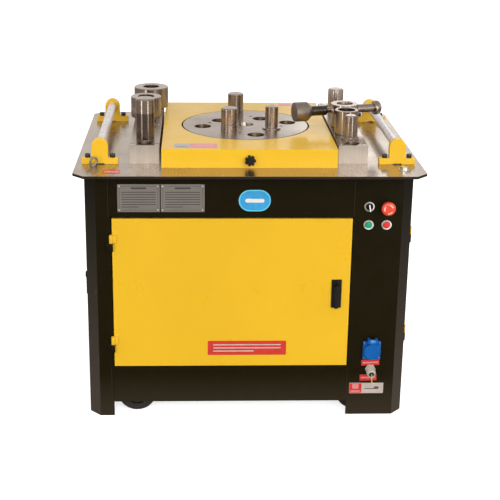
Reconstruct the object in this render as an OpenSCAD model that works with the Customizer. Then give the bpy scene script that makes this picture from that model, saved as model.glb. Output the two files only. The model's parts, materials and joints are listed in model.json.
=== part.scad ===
// Floor-standing rebar bending machine: a steel table on a sheet-metal cabinet, with a
// motor-driven bending disc, two drilled pin bars and two bar-support rollers.
// Origin: on the floor, below the centre of the table plate. X right, Y to the back, Z up.

/* [Table] */
// Width of the table plate
table_w = 980; // [970:1:990]
// Depth of the table plate
table_d = 790; // [784:1:800]
// Thickness of the table plate
table_t = 8; // [6:1:10]
// Height of the table's top face above the floor
table_z = 754; // [750:1:758]
// Leg length of the table plate's 45 degree corners
table_corner = 32; // [20:1:40]

/* [Cabinet] */
// Outside width of the cabinet
cabinet_w = 928; // [926:1:932]
// Outside depth of the cabinet
cabinet_d = 676; // [674:1:680]
// Leg length of the cabinet's 45 degree corners
cabinet_corner = 32; // [28:1:36]
// Thickness of the cabinet's sheet
sheet_t = 3; // [2:0.5:3]
// Height of the lower edge of the bottom rails
rail_low_z = 45; // [40:1:60]
// Bottom of the door openings
opening_low_z = 158; // [154:1:162]
// Top of the door openings
opening_high_z = 617; // [613:1:621]
// Left edge of the front opening
front_open_left = -390; // [-392:1:-388]
// Right edge of the front opening, where the control column starts
front_open_right = 295; // [293:1:297]
// Half the depth of the side openings
side_open_half = 265; // [263:1:267]
// Gap around each door
door_gap = 3; // [2:0.5:4]
// Depth of the folded door pans
door_depth = 20; // [16:1:24]

/* [Cover and disc] */
// Width of the cover around the disc
cover_w = 494; // [492:1:496]
// Depth of the cover
cover_d = 610; // [606:1:614]
// Height of the cover and of the pin bars above the table
deck_h = 53; // [50:0.5:56]
// Sheet of the cover
cover_t = 3; // [2:0.5:4]
// Radius of the round opening in the cover
cover_hole_r = 194; // [193:0.5:196]
// Radius of the bending disc
disc_r = 190; // [188:0.5:191]
// Place of the disc's axis along Y
disc_y = -6; // [-8:1:-4]
// Radius of the pin holes in the disc and the bars
pin_hole_r = 25; // [24.5:0.5:25.5]
// Circle of the outer disc holes
outer_circle_r = 132; // [130:1:134]
// Circle of the inner disc holes
inner_circle_r = 92; // [90:1:94]
// Depth of the disc holes
disc_hole_depth = 37; // [34:1:40]

/* [Pin bars] */
// Width of each pin bar
bar_w = 84; // [82:1:86]
// Distance of each bar's middle from the machine's middle
bar_x = 296; // [295:1:297]
// Spacing of the holes along a bar
hole_pitch = 72; // [71:0.5:73]
// Number of large holes in a bar
hole_count = 7; // [6:1:7]

/* [Pins and sleeves] */
// Radius of the bending pins above the disc
bend_pin_r = 24.4; // [23:0.1:24.6]
// Height of the bending pins above the disc
bend_pin_h = 69; // [60:1:75]
// Height of the tall stop pin above its bar
tall_pin_h = 120; // [100:1:130]
// Turn of the spindle stop away from straight across
spindle_yaw = 14.75; // [10:0.25:16]
// Height of the spindle above the pin bar
spindle_h = 56; // [54:1:57]

/* [Rollers] */
// Radius of the two rollers
roller_r = 14; // [12:0.5:15]
// Distance of the rollers from the machine's middle
roller_x = 421; // [419:1:423]
// Distance of the roller brackets from the machine's middle
bracket_y = 260; // [258:1:262]
// Height of the roller axes above the table
roller_h = 51; // [48:1:52]

/* [Wheels] */
// Radius of the transport wheels
wheel_r = 57; // [54:1:58]
// Width of the wheels
wheel_w = 34; // [30:1:36]
// Clear height of the wheels above the floor
wheel_lift = 2; // [1:0.5:3]

/* [Drive] */
// Module of the last gear stage
last_module = 4; // [4:1:4]
// Module of the first gear stage
first_module = 3; // [3:1:3]
// Teeth of both large gears
gear_teeth = 84; // [84:1:84]
// Teeth of both pinions
pinion_teeth = 14; // [14:1:14]
// Pitch radius of the motor's pulley
small_pulley_r = 45; // [44:1:46]
// Pitch radius of the driven pulley
large_pulley_r = 135; // [134:1:136]

/* [Hidden] */
$fn = 64;

// Running clearance on a radius
fit = 0.05;
// Heights of the deck that the work lies on
deck_z = table_z + deck_h;
under_table_z = table_z - table_t;

// Outer planes of the cabinet
side_x = cabinet_w / 2;
face_y = -cabinet_d / 2;
// Height and width of the door openings
opening_h = opening_high_z - opening_low_z;
front_open_w = front_open_right - front_open_left;
side_open_w = 2 * side_open_half;

// Hinges: barrel radius, distance of the axis in front of the door, half length, place
knuckle_r = 5.5;
hinge_out = 6;
hinge_in = 0.5;
hinge_half = 24;
hinge_inset = 74;
hinge_pin_r = 3;
hinge_tab = 14;

// Latch: place from the opening's far edge, plate size, hub height above the opening's bottom
latch_inset = 41.5;
latch_plate_w = 29;
latch_plate_h = 86;
latch_plate_t = 3;
latch_hub_z = 247;
latch_lever_l = 62;
latch_hub_r = 9;
latch_lever_t = 8;
latch_pin_r = 4;

// Row of large holes along the bars
hole_y0 = disc_y - (6 - 1) / 2 * hole_pitch;
bar_front_y = hole_y0 - 77;
bar_back_y = hole_y0 + 6 * hole_pitch + 49;
small_hole_r = 20;
small_hole_y = hole_y0 - 51;
bar_screw_dx = 33;
bar_screw_y = [small_hole_y - 4, hole_y0 + 2.5 * hole_pitch, bar_back_y - 14];
bar_screw_r = 6.5;

// Cover
cover_y = -3;
cover_front_y = cover_y - cover_d / 2;
knob_z = table_z + 23;
knob_x = 1;

// Disc, its centre shaft and its clamp screws
disc_t = 50;
disc_low_z = deck_z - disc_t;
hole_floor_z = deck_z - disc_hole_depth;
drain_r = 12;
outer_angle = 11;
inner_angle = 56;
shaft_r = 44;
mandrel_depth = 45;
clamp_circle_r = 110;
clamp_angle = -11.5;
clamp_screw_r = 5;
flange_r = 120;
flange_t = 15;
table_hole_r = 125;

// Pins: seat radius, chamfer and groove
seat_r = pin_hole_r - fit;
pin_chamfer = 3;
base_band_h = 18;
groove_h = 2;
groove_depth = 1;
small_pin_r = 19.5;
small_pin_collar_r = 27.5;
tall_pin_r = 26.5;
right_pin_r = 16;
right_pin_collar_r = 26;
right_pin_h = 71;
right_back_pin_r = 24.4;
right_back_pin_h = 75;

// Loose sleeves: place, radius, height
sleeve_bore_r = 25.5;
left_middle_x = -305;
left_middle_y = 103;
left_middle_r = 47;
left_middle_h = 64;
left_back_x = -294;
left_back_y = 247;
left_back_r = 54.5;
left_back_h = 65;
right_sleeve_x = 292.5;
right_sleeve_y = -117.5;
right_sleeve_r = 34.5;
right_sleeve_h = 72;

// Spindle stop: holder, and places along the spindle from the holder's middle
holder_x = bar_x;
holder_y = hole_y0 + 2 * hole_pitch;
holder_r = 40.5;
holder_h = 74;
spindle_z = deck_z + spindle_h;
seat_pin_top = deck_z + 30;
spindle_r = 12.5;
neck_r = 8;
nut_r = 14.5;
pad_r = 29;
pad_face_s = -160;
pad_cone_s = -121;
pad_back_s = -107;
nut_end_s = -59;
neck_start_s = -38;
flange_start_s = 93;
flange_end_s = 116;
flange_knob_r = 21.5;

// Rollers and their brackets
roller_z = table_z + roller_h;
bracket_base_w = 102;
bracket_base_h = 18;
bracket_t = 22;
// Wall left between a journal's bore and the bracket's outer face
bracket_wall = 9;
upright_r = 23;
journal_r = 8;
journal_l = 12;
bracket_bolt_dx = 35;
bracket_bolt_r = 7.5;
bracket_bolt_h = 10;

// Controls: columns and rows of the push buttons
button_left_x = 337;
button_right_x = 388;
button_high_z = 650;
button_low_z = 596;
panel_hole_r = 11.2;
bezel_r = 14.75;
bezel_bore_r = 9.6;
bezel_t = 4;
cap_r = 9.3;
socket_x = 364;
socket_z = 210;

// Wheels
wheel_x = 325;
wheel_y = 290;
wheel_z = wheel_r + wheel_lift;
axle_r = 7;
pan_z = 122;

// Drive: heights of the gears and pulleys, and places of the shafts
centre_last = last_module * (gear_teeth + pinion_teeth) / 2;
centre_first = first_module * (gear_teeth + pinion_teeth) / 2;
middle_x = centre_last;
input_x = centre_last;
input_y = disc_y + centre_first;
motor_x = -230;
box_low_z = 560;
box_high_z = 731;
output_low_z = 655;
output_w = 45;
first_low_z = 600;
first_w = 30;
pulley_low_z = 505;
pulley_w = 40;
box_x0 = -196;
box_x1 = 350;
box_y0 = disc_y - 195;
box_y1 = disc_y + 199;
box_wall = 12;
box_floor = 15;
middle_shaft_r = 17.5;
input_shaft_r = 12.5;
middle_bearing_r = 31;
input_bearing_r = 26;
main_bearing_r = 70;
pressure_angle = 20;
backlash = 0.6;
belt_z = [513, 527];
belt_w = 9;
motor_shaft_r = 14;
motor_shaft_top = 540;
motor_flange_z = 486;

// Route of the earth lead's middle line, from the gland's nose to its bare end
lead_r = 1.5;
lead_points = [[363, -366, 143], [363, -369, 142.4], [363, -372, 141], [363, -374, 138.5],
               [363, -375, 135.5], [363, -375, 132.5], [363, -375, 129.5], [363, -375, 126.5],
               [363.5, -375, 123.5], [365, -375, 121], [367, -375, 119], [370, -375, 118],
               [373, -375, 118], [376, -375, 118.5], [379, -375, 119], [382, -375, 119.5]];
lead_sides = 8;
gland_tilt = atan(0.2);

// Colours
black = "#26231f";
yellow = "#f5bd1f";
steel = "#9b948c";
dark_steel = "#5b5650";
zinc = "#b9b9b6";

// ---- Shared shapes ----

// Round bar or tube standing on z = 0
module tube(r, bore, h) {
    difference() {
        cylinder(r = r, h = h);
        translate([0, 0, -1]) cylinder(r = bore, h = h + 2);
    }
}

// Round bar with a chamfered top edge, standing on z = 0
module chamfered_bar(r, h, c) {
    rotate_extrude() polygon([[0, 0], [r, 0], [r, h - c], [r - c, h], [0, h]]);
}

// Rectangle with its four corners cut at 45 degrees
module cut_rectangle(w, d, c) {
    polygon([[-w / 2 + c, -d / 2], [w / 2 - c, -d / 2], [w / 2, -d / 2 + c], [w / 2, d / 2 - c],
             [w / 2 - c, d / 2], [-w / 2 + c, d / 2], [-w / 2, d / 2 - c], [-w / 2, -d / 2 + c]]);
}

// Box from its lowest and highest corner
module box(low, high) {
    translate(low) cube(high - low);
}

// Hole through the front sheet, along Y
module front_hole(x, z, r) {
    translate([x, face_y - 1, z]) rotate([-90, 0, 0]) cylinder(r = r, h = sheet_t + 2);
}

// Puts children, built along +Z, onto the front sheet so that +Z points out of it
module on_front(x, z) {
    translate([x, face_y, z]) rotate([90, 0, 0]) children();
}

// Puts children at the spindle's axis, with +X along the spindle away from the disc
module on_spindle() {
    translate([holder_x, holder_y, spindle_z]) rotate([0, 0, spindle_yaw]) children();
}

// Round bar along +X from one place to another
module along_x(r, from, to) {
    translate([from, 0, 0]) rotate([0, 90, 0]) cylinder(r = r, h = to - from);
}

// Door-local frame: x from the hinge edge of the opening, -y out of the cabinet, z from its bottom
module front_door_frame() {
    translate([front_open_left, face_y, opening_low_z]) children();
}

module left_door_frame() {
    translate([-side_x, side_open_half, opening_low_z]) rotate([0, 0, -90]) children();
}

module right_door_frame() {
    translate([side_x, -side_open_half, opening_low_z]) rotate([0, 0, 90]) children();
}

// ---- Cabinet ----

// Bent-sheet corner post on the corner at (0, 0), with legs along +X and +Y
module corner_post(front_run, side_run) {
    c = cabinet_corner;
    t = sheet_t;
    k = t * tan(22.5);
    foot = 60;
    linear_extrude(under_table_z)
        polygon([[front_run, 0], [c, 0], [0, c], [0, side_run], [t, side_run], [t, c + k],
                 [c + k, t], [front_run, t]]);
    // foot plate inside the bend
    linear_extrude(4) polygon([[foot, t], [c + k, t], [t, c + k], [t, foot], [foot, foot]]);
}

// Front-right post, whose wide front leg carries the controls
module control_column() {
    color(black) difference() {
        translate([side_x, face_y, 0]) mirror([1, 0, 0])
            corner_post(side_x - front_open_right, cabinet_d / 2 - side_open_half);
        for (x = [button_left_x, button_right_x], z = [button_low_z, button_high_z])
            front_hole(x, z, panel_hole_r);
        front_hole(socket_x, socket_z, 20);
        front_hole(lead_points[0][0], 148.6, 10);
    }
}

// Flat rail between two posts, above or below a door opening
module rail(from, to, z0, z1) {
    box([from, 0, z0], [to, sheet_t, z1]);
}

module rail_pair(from, to) {
    rail(from, to, rail_low_z, opening_low_z);
    rail(from, to, opening_high_z, under_table_z);
}

// The three narrow posts
module corner_posts() {
    side_run = cabinet_d / 2 - side_open_half;
    back_run = side_x + front_open_left;
    color(black) {
        translate([-side_x, face_y, 0]) corner_post(back_run, side_run);
        translate([-side_x, -face_y, 0]) mirror([0, 1, 0]) corner_post(back_run, side_run);
        translate([side_x, -face_y, 0]) rotate([0, 0, 180]) corner_post(back_run, side_run);
    }
}

// Rails that the posts are welded to, two on each side
module cabinet_rails() {
    color(black) {
        translate([0, face_y, 0]) rail_pair(front_open_left, front_open_right);
        translate([0, -face_y, 0]) mirror([0, 1, 0])
            rail_pair(front_open_left, -front_open_left);
        for (side = [-1, 1])
            scale([side, 1, 1]) translate([side_x, 0, 0]) rotate([0, 0, 90])
                rail_pair(-side_open_half, side_open_half);
    }
}

module rear_panel() {
    half_w = -front_open_left + 12;
    louvre_w = 120;
    difference() {
        box([-half_w, -face_y, opening_low_z - 12], [half_w, -face_y + 2, opening_high_z + 12]);
        for (x = [-240, 0, 240], row = [0:5])
            box([x - louvre_w / 2, -face_y - 1, 400 + 26 * row],
                [x + louvre_w / 2, -face_y + 3, 408 + 26 * row]);
    }
}

module base_pan() {
    inside_x = side_x - sheet_t;
    inside_y = cabinet_d / 2 - sheet_t;
    cut = cabinet_corner + 4;
    translate([0, 0, pan_z])
        linear_extrude(sheet_t) cut_rectangle(2 * inside_x, 2 * inside_y, cut);
}

// Louvred panel closing the back, and the pan over the wheels
module cabinet_panels() {
    color(black) {
        rear_panel();
        base_pan();
    }
}

module wheel_bracket(x, y) {
    // two side plates with the axle through them, and the top plate below the base pan
    translate([x, y, 0]) {
        for (side = [-1, 1])
            translate([0, side * (wheel_w / 2 + 5), 0]) {
                difference() {
                    box([-22, -2, wheel_z - 14], [22, 2, pan_z]);
                    translate([0, -3, wheel_z]) rotate([-90, 0, 0]) cylinder(r = axle_r, h = 6);
                }
            }
        translate([0, -wheel_w / 2 - 10, wheel_z]) rotate([-90, 0, 0])
            cylinder(r = axle_r - 0.02, h = wheel_w + 20);
    }
}

module wheel_brackets() {
    color(zinc) for (x = [-wheel_x, wheel_x], y = [-wheel_y, wheel_y])
        wheel_bracket(x, y);
}

module wheel(x, y) {
    color("#1c1b1a") translate([x, y, wheel_z]) rotate([90, 0, 0]) translate([0, 0, -wheel_w / 2])
        rotate_extrude() polygon([[axle_r + fit, 0], [16, 0], [18, 6], [36, 6], [38, 0],
                                  [wheel_r - 4, 0], [wheel_r, 4], [wheel_r, wheel_w - 4],
                                  [wheel_r - 4, wheel_w], [38, wheel_w], [36, wheel_w - 6],
                                  [18, wheel_w - 6], [16, wheel_w], [axle_r + fit, wheel_w]]);
}

// ---- Doors ----

// Folded door pan with the upper halves of its hinges and the latch plate
module door_leaf(open_w) {
    x0 = door_gap;
    x1 = open_w - door_gap;
    z0 = door_gap;
    z1 = opening_h - door_gap;
    wall = 2;
    latch_x = open_w - latch_inset;
    plate_mid = opening_h / 2;
    color(yellow) difference() {
        box([x0, 0, z0], [x1, door_depth, z1]);
        box([x0 + wall, wall, z0 + wall], [x1 - wall, door_depth + 1, z1 - wall]);
        translate([latch_x, -1, latch_hub_z]) rotate([-90, 0, 0])
            cylinder(r = latch_pin_r + fit, h = wall + 2);
    }
    color(yellow) for (z = [hinge_inset, opening_h - hinge_inset]) {
        translate([hinge_in, -hinge_out, z + 0.5])
            tube(knuckle_r, hinge_pin_r + fit, hinge_half - 0.5);
        difference() {
            box([hinge_in, -hinge_out, z + 0.5], [hinge_in + hinge_tab, 0, z + hinge_half]);
            translate([hinge_in, -hinge_out, z]) cylinder(r = knuckle_r - 0.5, h = hinge_half + 1);
        }
    }
    color(black) difference() {
        box([latch_x - latch_plate_w / 2, -latch_plate_t, plate_mid - latch_plate_h / 2],
            [latch_x + latch_plate_w / 2, 0, plate_mid + latch_plate_h / 2]);
        translate([latch_x, -latch_plate_t - 1, latch_hub_z]) rotate([-90, 0, 0])
            cylinder(r = latch_pin_r + fit, h = latch_plate_t + 2);
    }
}

// Lower halves of one door's hinges, with the pins that the door turns on
module door_hinge_halves() {
    for (z = [hinge_inset, opening_h - hinge_inset]) {
        translate([hinge_in, -hinge_out, z - hinge_half]) {
            cylinder(r = knuckle_r, h = hinge_half);
            cylinder(r = hinge_pin_r, h = 2 * hinge_half - 2);
        }
        box([hinge_in - hinge_tab, -hinge_out, z - hinge_half], [hinge_in, 0, z]);
    }
}

// Quarter-turn latch: hub on a pin through the door, lever hanging down over the plate
module latch_lever(open_w) {
    lever_top = -latch_plate_t - 0.3;
    color(black) translate([open_w - latch_inset, lever_top, latch_hub_z]) {
        rotate([90, 0, 0]) {
            cylinder(r = latch_hub_r, h = latch_lever_t);
            translate([-8, -latch_lever_l + 8, 0]) cube([16, latch_lever_l - 8, latch_lever_t - 2]);
            translate([0, -latch_lever_l + 8, 0]) cylinder(r = 8, h = latch_lever_t - 2);
        }
        // pin through the plate, with the locking cam behind the door sheet
        rotate([-90, 0, 0]) cylinder(r = latch_pin_r, h = 14);
        box([-6, 9, -8], [22, 12, 8]);
    }
}

module front_door() {
    front_door_frame() door_leaf(front_open_w);
}

module left_door() {
    left_door_frame() door_leaf(side_open_w);
}

module right_door() {
    right_door_frame() door_leaf(side_open_w);
}

module hinge_knuckles() {
    color(black) {
        front_door_frame() door_hinge_halves();
        left_door_frame() door_hinge_halves();
        right_door_frame() door_hinge_halves();
    }
}

module front_latch() {
    front_door_frame() latch_lever(front_open_w);
}

module left_latch() {
    left_door_frame() latch_lever(side_open_w);
}

module right_latch() {
    right_door_frame() latch_lever(side_open_w);
}

// ---- Table and deck ----

module table_plate() {
    color(steel) translate([0, 0, under_table_z]) linear_extrude(table_t) difference() {
        cut_rectangle(table_w, table_d, table_corner);
        translate([0, disc_y]) circle(r = table_hole_r);
    }
}

module deck_cover() {
    half_w = cover_w / 2;
    half_d = cover_d / 2;
    color(yellow) translate([0, cover_y, table_z]) difference() {
        box([-half_w, -half_d, 0], [half_w, half_d, deck_h]);
        box([-half_w + cover_t, -half_d + cover_t, -1],
            [half_w - cover_t, half_d - cover_t, deck_h - cover_t]);
        translate([0, disc_y - cover_y, 0]) cylinder(r = cover_hole_r, h = deck_h + 1, $fn = 96);
        translate([knob_x, -half_d - 1, knob_z - table_z]) rotate([-90, 0, 0])
            cylinder(r = 4.5, h = cover_t + 2);
    }
}

// Drilled bar; side is -1 for the left one and 1 for the right one
module pin_bar(side) {
    color(steel) translate([side * bar_x, 0, table_z]) difference() {
        box([-bar_w / 2, bar_front_y, 0], [bar_w / 2, bar_back_y, deck_h]);
        for (k = [0:hole_count - 1])
            translate([0, hole_y0 + k * hole_pitch, -1]) cylinder(r = pin_hole_r, h = deck_h + 2);
        translate([0, small_hole_y, -1]) cylinder(r = small_hole_r, h = deck_h + 2);
        for (dx = [-bar_screw_dx, bar_screw_dx], y = bar_screw_y)
            translate([dx, y, deck_h - 9]) cylinder(r = bar_screw_r + fit, h = 10);
    }
}

module pin_bar_left() {
    pin_bar(-1);
}

module pin_bar_right() {
    pin_bar(1);
}

// Bar screws, bolts of the table and of the brackets, and the short pin that the holder turns on
module table_hardware() {
    color(zinc) {
        for (side = [-1, 1], dx = [-bar_screw_dx, bar_screw_dx], y = bar_screw_y)
            translate([side * bar_x + dx, y, deck_z - 9]) tube(bar_screw_r, 3, 8);
        for (p = [[431, -328], [-431, 328]])
            translate([p[0], p[1], table_z]) {
                cylinder(r = 14, h = 2);
                cylinder(r = 11, h = 10, $fn = 6);
            }
        translate([holder_x, holder_y, table_z])
            chamfered_bar(seat_r, seat_pin_top - table_z, 2);
    }
    bracket_bolts();
}

// Lifting eyes: a collar with a ring on it, one in front on the left and one behind on the right
module eye_bolt() {
    cylinder(r = 9, h = 5);
    translate([0, 0, 15]) rotate([90, 0, 25]) rotate_extrude() translate([10, 0])
        circle(r = 3, $fn = 24);
}

module eye_bolts() {
    color(zinc) for (p = [[-437, -291], [437, 305]])
        translate([p[0], p[1], table_z]) eye_bolt();
}

// Bracket with a rounded upright, a shallow notch under its base, and a blind bore for the
// journal that opens towards +Y
module roller_bracket() {
    half = bracket_base_w / 2;
    rotate([90, 0, 0]) translate([0, 0, -bracket_t / 2]) difference() {
        union() {
            linear_extrude(bracket_t)
                polygon([[-half, 0], [-14, 0], [-10, 3], [10, 3], [14, 0], [half, 0],
                         [half, bracket_base_h], [-half, bracket_base_h]]);
            translate([-upright_r, bracket_base_h - 1, 0])
                cube([2 * upright_r, roller_h - bracket_base_h + 1, bracket_t]);
            translate([0, roller_h, 0]) cylinder(r = upright_r, h = bracket_t);
        }
        translate([0, roller_h, -1]) cylinder(r = journal_r + fit, h = bracket_t - bracket_wall + 1);
    }
}

module roller_brackets() {
    color(yellow) for (x = [-roller_x, roller_x], y = [-bracket_y, bracket_y])
        translate([x, y, table_z]) mirror([0, y > 0 ? 1 : 0, 0]) roller_bracket();
}

module bracket_bolts() {
    color("#161514") for (x = [-roller_x, roller_x], y = [-bracket_y, bracket_y],
                          dx = [-bracket_bolt_dx, bracket_bolt_dx])
        translate([x + dx, y, table_z + bracket_base_h]) difference() {
            cylinder(r = bracket_bolt_r, h = bracket_bolt_h);
            translate([0, 0, bracket_bolt_h - 5]) cylinder(r = 4, h = 6, $fn = 6);
        }
}

// Roller with a journal at each end
module roller(side) {
    inner = bracket_y - bracket_t / 2 - 1;
    color("#e6e2e2") translate([side * roller_x, 0, roller_z]) rotate([-90, 0, 0]) {
        translate([0, 0, -inner]) cylinder(r = roller_r, h = 2 * inner);
        translate([0, 0, -inner - journal_l]) cylinder(r = journal_r, h = 2 * (inner + journal_l));
    }
}

module roller_left() {
    roller(-1);
}

module roller_right() {
    roller(1);
}

// Seven-lobed knob with its stud through the cover's front wall
module cover_knob() {
    color("#161514") translate([knob_x, cover_front_y - 1, knob_z]) rotate([90, 0, 0]) {
        cylinder(r = 11, h = 14);
        for (k = [0:6])
            rotate([0, 0, k * 360 / 7]) translate([11.5, 0, 1.5]) cylinder(r = 4, h = 11);
        translate([0, 0, -14]) cylinder(r = 4, h = 15);
    }
}

// ---- Disc and pins ----

// Places of the four holes on one circle
function circle_holes(r, first) =
    [for (k = [0:3]) [r * cos(first + 90 * k), disc_y + r * sin(first + 90 * k)]];
outer_holes = circle_holes(outer_circle_r, outer_angle);
inner_holes = circle_holes(inner_circle_r, inner_angle);
clamp_holes = circle_holes(clamp_circle_r, clamp_angle);

module bending_disc() {
    color(steel) difference() {
        translate([0, disc_y, disc_low_z]) rotate_extrude($fn = 96)
            polygon([[shaft_r + 0.02, 0], [disc_r, 0], [disc_r, disc_t - 1], [disc_r - 1, disc_t],
                     [shaft_r + 0.02, disc_t]]);
        for (p = concat(outer_holes, inner_holes)) {
            translate([p[0], p[1], hole_floor_z]) cylinder(r = pin_hole_r, h = disc_t);
            translate([p[0], p[1], disc_low_z - 1]) cylinder(r = drain_r, h = disc_t);
        }
        for (p = clamp_holes)
            translate([p[0], p[1], disc_low_z - 1]) cylinder(r = clamp_screw_r, h = disc_t + 2);
    }
}

// Stepped vertical shaft with the disc's flange, a mandrel bore in its top, and the clamp screws
module main_shaft() {
    color(dark_steel) {
        difference() {
            union() {
                translate([0, disc_y, box_low_z + 2])
                    cylinder(r = shaft_r, h = deck_z - box_low_z - 2);
                translate([0, disc_y, disc_low_z - flange_t]) cylinder(r = flange_r, h = flange_t);
            }
            translate([0, disc_y, deck_z - mandrel_depth])
                cylinder(r = pin_hole_r, h = mandrel_depth + 1);
        }
        for (p = clamp_holes)
            translate([p[0], p[1], disc_low_z]) difference() {
                cylinder(r = clamp_screw_r - 0.02, h = disc_t - 1);
                translate([0, 0, disc_t - 6]) cylinder(r = 2.5, h = 6, $fn = 6);
            }
    }
}

// Pin with a seat in the hole, a base band, a groove and a chamfered top
module bending_pin(place) {
    color(dark_steel) translate([place[0], place[1], hole_floor_z]) rotate_extrude()
        polygon([[0, 0], [seat_r, 0], [seat_r, disc_hole_depth + base_band_h],
                 [bend_pin_r - groove_depth, disc_hole_depth + base_band_h],
                 [bend_pin_r - groove_depth, disc_hole_depth + base_band_h + groove_h],
                 [bend_pin_r, disc_hole_depth + base_band_h + groove_h],
                 [bend_pin_r, disc_hole_depth + bend_pin_h - pin_chamfer],
                 [bend_pin_r - pin_chamfer, disc_hole_depth + bend_pin_h],
                 [0, disc_hole_depth + bend_pin_h]]);
}

module bend_pin_front() {
    bending_pin(inner_holes[2]);
}

module bend_pin_back() {
    bending_pin(outer_holes[1]);
}

// Thinner pin with a seat of the standard size and a thin collar that rests on the surface
module collared_pin(r, h, collar_r, collar_t, seat_l) {
    rotate_extrude()
        polygon([[0, -seat_l], [seat_r, -seat_l], [seat_r, 0], [collar_r, 0], [collar_r, collar_t],
                 [r, collar_t], [r, h - pin_chamfer], [r - pin_chamfer, h], [0, h]]);
}

module bend_pin_small() {
    color(dark_steel) translate([inner_holes[3][0], inner_holes[3][1], deck_z])
        collared_pin(small_pin_r, bend_pin_h, small_pin_collar_r, 4, disc_hole_depth - 2);
}

module stop_pin_left() {
    color(dark_steel) translate([-bar_x, hole_y0, deck_z])
        collared_pin(tall_pin_r, tall_pin_h, tall_pin_r + 0.4, 1, 45);
}

module stop_pin_right_front() {
    color(dark_steel) translate([bar_x, hole_y0, deck_z])
        collared_pin(right_pin_r, right_pin_h, right_pin_collar_r, 5, 40);
}

module stop_pin_right_back() {
    color(dark_steel) translate([bar_x, hole_y0 + 5 * hole_pitch, table_z]) rotate_extrude()
        polygon([[0, 0], [seat_r, 0], [seat_r, deck_h], [right_back_pin_r, deck_h],
                 [right_back_pin_r, deck_h + right_back_pin_h - 5],
                 [right_back_pin_r - 5, deck_h + right_back_pin_h],
                 [0, deck_h + right_back_pin_h]]);
}

// Loose sleeve standing on a bar
module sleeve(x, y, r, h) {
    color(dark_steel) translate([x, y, deck_z]) rotate_extrude()
        polygon([[sleeve_bore_r, 0], [r - 1, 0], [r, 1], [r, h - 1.5], [r - 1.5, h],
                 [sleeve_bore_r + 1, h], [sleeve_bore_r, h - 1]]);
}

module sleeve_left_middle() {
    sleeve(left_middle_x, left_middle_y, left_middle_r, left_middle_h);
}

module sleeve_left_back() {
    sleeve(left_back_x, left_back_y, left_back_r, left_back_h);
}

module sleeve_right() {
    sleeve(right_sleeve_x, right_sleeve_y, right_sleeve_r, right_sleeve_h);
}

// Ring that turns on its seat pin and carries the spindle crosswise
module stop_holder() {
    color(dark_steel) difference() {
        translate([holder_x, holder_y, deck_z]) tube(holder_r, pin_hole_r, holder_h);
        on_spindle() along_x(spindle_r + fit, -holder_r - 5, holder_r + 5);
    }
}

// Pressure pad with its nut-like collar and neck
module stop_pad() {
    color(dark_steel) on_spindle() rotate([0, 90, 0]) rotate_extrude()
        polygon([[0, pad_face_s], [pad_r - 1, pad_face_s], [pad_r, pad_face_s + 1],
                 [pad_r, pad_cone_s], [nut_r, pad_back_s], [nut_r, nut_end_s],
                 [0, nut_end_s]]);
}

// Spindle with a thin neck on the pad's side and a flanged grip at its outer end
module stop_spindle() {
    color(steel) on_spindle() rotate([0, 90, 0]) rotate_extrude()
        polygon([[0, nut_end_s], [neck_r, nut_end_s], [neck_r, neck_start_s - 6],
                 [spindle_r, neck_start_s], [spindle_r, flange_start_s],
                 [flange_knob_r - 3, flange_start_s], [flange_knob_r, flange_start_s + 5],
                 [flange_knob_r, flange_end_s - 10], [flange_knob_r - 9, flange_end_s],
                 [0, flange_end_s]]);
}

// ---- Controls ----

module nameplates() {
    color(zinc) for (x = [-370, -249])
        translate([x, face_y - 1, 634]) cube([x == -370 ? 119 : 123, 1, 81]);
}

// Bezels with the threaded necks that pass through the column
module button_bezels() {
    color("#c9c7c2") for (x = [button_left_x, button_right_x], z = [button_low_z, button_high_z])
        on_front(x, z) {
            tube(bezel_r, bezel_bore_r, bezel_t);
            translate([0, 0, -18]) tube(panel_hole_r - 0.1, bezel_bore_r, 18);
        }
}

// Short push button that slides in its bezel
module push_button(x, z) {
    on_front(x, z) translate([0, 0, -8]) chamfered_bar(cap_r, 8 + bezel_t + 2, 1);
}

module start_button() {
    color("#10a06a") push_button(button_left_x, button_low_z);
}

module stop_button() {
    color("#d0202a") push_button(button_right_x, button_low_z);
}

// Black knob with a raised grip across it
module selector_knob() {
    color("#161514") on_front(button_left_x, button_high_z) {
        translate([0, 0, -8]) cylinder(r = cap_r, h = 8 + bezel_t + 4);
        rotate([0, 0, 12]) translate([-3.5, -11.5, bezel_t + 0.3]) cube([7, 23, 11]);
    }
}

module estop_button() {
    color("#e2402f") on_front(button_right_x, button_high_z) {
        translate([0, 0, -8]) cylinder(r = cap_r - 0.3, h = 26);
        translate([0, 0, 14]) rotate_extrude()
            polygon([[0, 0], [14, 0], [20, 4], [20, 10], [17, 14], [13, 15], [0, 15]]);
    }
}

// Cabinet for the switchgear behind the control column, with contactors and contact blocks
module electrical_box() {
    x0 = 300;
    x1 = 424;
    y0 = face_y + 8;
    y1 = y0 + 110;
    z0 = 270;
    z1 = 540;
    wall = 2;
    color("#8d9295") difference() {
        box([x0, y0, z0], [x1, y1, z1]);
        box([x0 + wall, y0 + wall, z0 + wall], [x1 - wall, y1 - wall, z1 - wall]);
    }
    color("#8d9295") for (k = [0:2])
        box([x0 + 5 + 39 * k, y0 + 20, 380], [x0 + 41 + 39 * k, y0 + 100, 465]);
    color("#8d9295") box([x0 + 20, y0 + 25, 285], [x0 + 110, y0 + 95, 345]);
    color("#8d9295") for (x = [button_left_x, button_right_x], z = [button_low_z, button_high_z])
        box([x - 14, face_y + 18, z - 20], [x + 14, face_y + 58, z + 20]);
}

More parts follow.
